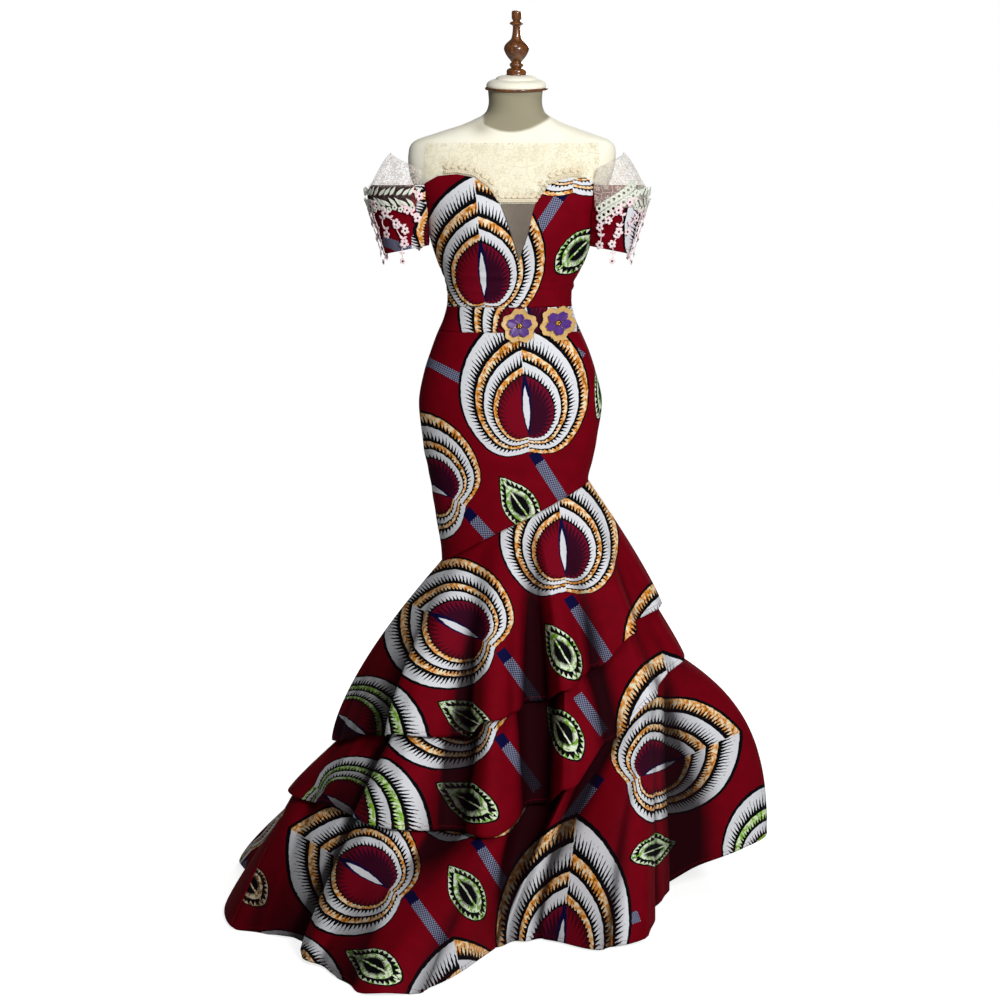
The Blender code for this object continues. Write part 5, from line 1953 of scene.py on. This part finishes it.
CAP_PROFILE = [
    (0.0, 0.0258), (0.0060, 0.0258), (0.0200, 0.0252), (0.0300, 0.0236), (0.0365, 0.0212), (0.0392, 0.0186),
    (0.0396, 0.0172), (0.0410, 0.0168), (0.0470, 0.0156), (0.0515, 0.0138), (0.0550, 0.0108),
    (0.0568, 0.0070), (0.0573, 0.0048), (0.0566, 0.0022), (0.0552, 0.0006), (0.0540, 0.0001), (0.0, 0.0),
]
RING_PROFILE = [(0.0562, 0.0022), (0.0588, 0.0030), (0.0596, 0.0012), (0.0590, -0.0016), (0.0560, -0.0022)]
FINIAL_PROFILE = [
    (0.0, 0.1180), (0.0060, 0.1178), (0.0084, 0.1168), (0.0092, 0.1145), (0.0092, 0.1060),
    (0.0086, 0.1020), (0.0064, 0.0992), (0.0112, 0.0965), (0.0130, 0.0945), (0.0118, 0.0925),
    (0.0078, 0.0905), (0.0070, 0.0860), (0.0078, 0.0760), (0.0090, 0.0690), (0.0098, 0.0680),
    (0.0098, 0.0665), (0.0120, 0.0640), (0.0205, 0.0560), (0.0234, 0.0500), (0.0230, 0.0440),
    (0.0180, 0.0340), (0.0110, 0.0255), (0.0094, 0.0230), (0.0118, 0.0205), (0.0130, 0.0180),
    (0.0120, 0.0150), (0.0102, 0.0130), (0.0104, 0.0120), (0.0160, 0.0100), (0.0184, 0.0070),
    (0.0184, 0.0010), (0.0178, 0.0001), (0.0, 0.0),
]


@dataclass
class DressForm(Assembly):
    """The limbless padded form with its neck, cap, finial, pole and base."""

    bottom: float = 0.720
    neck_top: float = 1.573
    neck_start: float = 1.520
    neck_shift: float = 0.010
    neck_seam: float = 1.512
    tilt: float = math.radians(8.0)
    clearance: float = 0.0046
    hip_clearance: float = 0.0086
    waist: float = 1.164
    columns: int = 160
    finial_lift: float = 0.0260

    def build(self) -> None:
        """Builds the torso and the turned pieces, and finishes the stand."""
        self.torso()
        settle(self.turned("jersey_neck_cap", CAP_PROFILE, self.finishes.jersey, 96),
               "form_neck_cap")
        count, segments = len(RING_PROFILE), 96
        faces = grid_faces(count + 1, segments, True) % (count * segments)
        ring = add_mesh("hardwood_neck_ring", self.spun(RING_PROFILE, segments), faces, self.finishes.wood)
        settle(ring)
        profile = [(radius, height + self.finial_lift + SEAM_GAP) for radius, height in self.rounded(FINIAL_PROFILE)]
        settle(self.turned("hardwood_finial", profile, self.finishes.wood, 64), "form_finial")
        for node in ("form_pole", "form_base"):
            for slot in bpy.data.objects[node].material_slots:
                slot.material = self.finishes.steel

    def torso(self) -> None:
        """Builds the padded torso, covered in jersey, with the seam round its neck."""
        heights = np.concatenate([np.linspace(self.neck_top, 1.45, 70), np.linspace(1.447, self.bottom, 160)])
        heights, angles = heights[:, None], ring_turns(self.columns)
        below = np.clip((self.waist + 0.01 - heights) / 0.02, 0, 1)
        inset = self.clearance + (self.hip_clearance - self.clearance) * below
        points = SHAPE.points(angles + 0 * heights, heights + 0 * angles, -inset)
        lean = np.clip((heights - self.neck_start) / (self.neck_top - self.neck_start), 0, 1)
        points[..., 2] += points[..., 1] * math.tan(self.tilt) * lean
        # A seam sinks the jersey round the foot of the neck.
        x, y, z = np.moveaxis(points, -1, 0).copy()
        seam = self.neck_seam + np.where(y < 0, -0.022, 0.0) * np.clip(1 - (x / 0.066) ** 2, -1, 1)
        groove = np.exp(-((z - seam) / 0.0016) ** 2) * 0.0012
        ridges = sum(np.exp(-((z - seam - side) / 0.0020) ** 2) for side in (0.0034, -0.0034)) * 0.0004
        points = points - unit(points * np.array([1.0, 1.0, 0.0])) * (groove - ridges)[..., None]
        rows, ends = len(heights), np.arange(self.columns)
        faces = [*grid_faces(rows, self.columns, True), ends, ((rows - 1) * self.columns + ends)[::-1]]
        piece = add_mesh(TORSO, points.reshape(-1, 3), faces, self.finishes.jersey)
        # Painted shade covers the neck above its seam.
        share = np.clip((z - seam) / 0.005 + 0.5, 0, 1)
        share = share * np.clip((0.0655 - np.abs(x - self.neck_shift)) / 0.006, 0, 1)
        # The painted shade spreads as a painted shadow a little way down the left of the neck.
        spread = np.exp(-((x + 0.056) / 0.020) ** 2 - ((z - 1.499) / 0.014) ** 2) * (y < 0.03)
        share = np.maximum(share, 0.6 * spread)
        shade_attribute = piece.data.attributes.new("patch_share", "FLOAT", "POINT")
        shade_attribute.data.foreach_set("value", share.astype(np.float32).ravel())
        settle(piece, "form_torso")

    def spun(self, profile: list[tuple[float, float]], segments: int) -> Array:
        """Rings of points on the neck's slanted axis.

        Args:
            profile: radius of each ring and its height above the neck.
            segments: points round each ring.

        Returns:
            The points, ring by ring.
        """
        radius, height = np.array(profile).T[..., None]
        turns, cos, sin = ring_turns(segments), math.cos(self.tilt), math.sin(self.tilt)
        y, z = radius * np.sin(turns), height + 0 * turns
        seat = np.array([self.neck_shift, 0.0, self.neck_top + SEAM_GAP])
        points = np.stack([radius * np.cos(turns), y * cos - z * sin, y * sin + z * cos], axis=-1)
        return points.reshape(-1, 3) + seat

    def turned(self, name: str, profile: list[tuple[float, float]], material: bpy.types.Material,
               segments: int) -> bpy.types.Object:
        """Makes a turned piece on the neck's slanted axis.

        Args:
            name: its name.
            profile: its profile.
            material: its finish.
            segments: segments round it.

        Returns:
            The piece.
        """
        rings = self.spun(profile, segments)
        points = np.concatenate([rings[:1], rings[segments:-segments], rings[-1:]])
        count, last = len(profile) - 2, len(points) - 1
        here = np.arange(segments)
        after, foot = (here + 1) % segments + 1, (count - 1) * segments
        faces = [*grid_faces(count, segments, True) + 1, *np.stack([0 * here, here + 1, after], axis=-1),
                 *np.stack([0 * here + last, foot + after, foot + here + 1], axis=-1)]
        return add_mesh(name, points, faces, material)

    @staticmethod
    def rounded(profile: list[tuple[float, float]], steps: int = 3) -> list[tuple[float, float]]:
        """Draws a smooth curve through a profile's points.

        Args:
            profile: the profile.
            steps: steps from each point to the next.

        Returns:
            The finer profile.
        """
        rows = np.array(profile)
        rows = np.concatenate([rows[:1], rows, rows[-1:]])
        result = [profile[0]]
        for before, start, end, after in zip(rows, rows[1:], rows[2:], rows[3:]):
            for step in range(1, steps + 1):
                radius, height = smooth_step(start, end, (end - before) / 2, (after - start) / 2, step / steps)
                result.append((max(float(radius), 0.0), float(height)))
        return result


# The studio

@dataclass
class Studio:
    """The pale floor, the soft lights and the camera at the photograph's angle."""

    drop: float = 0.56
    lens: float = 84.6
    backdrop: str = "#C4C4C2"
    surround: float = 0.08
    floor_reach: float = 14.0

    def build(self) -> None:
        """Sets the floor, the world, the lights, the camera and the view's colours."""
        self.floor()
        self.world()
        self.light("key_softbox", (1.8, -3.7, 2.3), (0, 0, 0.8), 0.9, 148.0)
        self.light("fill_softbox", (-2.4, -3.2, 1.6), (0, 0, 0.8), 1.4, 3.0)
        self.light("shoulder_softbox", (-0.15, -1.1, 2.9), (0, 0, 1.45), 0.5, 8.5)
        self.light("back_softbox", (0.8, 3.6, 2.6), (0, 0, 0.8), 1.4, 85.0)
        scene = bpy.context.scene
        data = bpy.data.cameras.new("photograph_camera")
        data.sensor_width, data.lens = 36.0, self.lens
        camera = bpy.data.objects.new("photograph_camera", data)
        camera.location = FRONT_EYE
        camera.rotation_euler = (math.pi / 2 - math.atan(self.drop / -FRONT_EYE[1]), 0.0, 0.0)
        scene.collection.objects.link(camera)
        scene.camera = camera
        scene.view_settings.view_transform = "Standard"
        scene.view_settings.look = "None"

    def floor(self) -> None:
        """Lays a wide pale floor just under the hems."""
        graph = Graph(bpy.data.materials.new("matt_studio_paper"))
        add = graph.add
        spot = add("TexCoord", out="Object")
        colour = add("Mix.RGBA", add("TexNoise", spot, 300.0, 2.0), self.backdrop, "#BEBEBC")
        # Far from the dress the paper brightens to the white of the surround.
        glow = add("MapRange", add("VectorMath.LENGTH", spot), 0.9, 4.0, 0.80, 0.96)
        # The paper is overexposed as the photo's is, and its light on the dress is weaker.
        glow = add("Math.MULTIPLY", glow, add("LightPath"))
        add("OutputMaterial", add("BsdfPrincipled", at={
            "Base Color": colour, "Roughness": 0.95, "Specular IOR Level": 0.05,
            "Emission Color": "#FFFFFF", "Emission Strength": glow}))
        size = self.floor_reach
        corners = [(-size, -size, 0), (size, -size, 0), (size, size, 0), (-size, size, 0)]
        add_mesh("studio_floor", corners, [(0, 1, 2, 3)], graph.owner, False)

    def world(self) -> None:
        """Sets an even white surround, whose light in the folds is weaker than it looks."""
        graph = Graph(bpy.data.worlds.new("studio_surround"))
        power = graph.add("MapRange", graph.add("LightPath"), 0.0, 1.0, self.surround, 1.0)
        graph.add("OutputWorld", graph.add("Background", "#FFFFFF", power))
        bpy.context.scene.world = graph.owner

    def light(self, name: str, place: tuple, aim: tuple, size: float, power: float) -> None:
        """Sets up a square soft light.

        Args:
            name: its name.
            place: where it stands.
            aim: where it points.
            size: its side in metres.
            power: its watts.
        """
        data = bpy.data.lights.new(name, "AREA")
        data.size, data.energy = size, power
        thing = bpy.data.objects.new(name, data)
        thing.location = place
        thing.rotation_euler = (Vector(aim) - Vector(place)).to_track_quat("-Z", "Y").to_euler()
        bpy.context.scene.collection.objects.link(thing)


def main() -> None:
    """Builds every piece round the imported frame."""
    logging.basicConfig(level=logging.INFO, format="%(message)s")
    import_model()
    finishes = Finishes()
    Studio().build()
    DressForm(finishes).build()
    bodice = FittedBodice(finishes)
    bodice.build()
    Flounces(finishes, bodice).build()
    NetYoke(finishes).build()
    for side in Side:
        LaceSleeve(finishes, side).build()
    BeltFlower(finishes, "left", 0.015, 1.1290, math.radians(90.0)).build()
    BeltFlower(finishes, "right", 0.085, 1.1330, math.radians(60.0)).build()


if __name__ == "__main__":
    main()
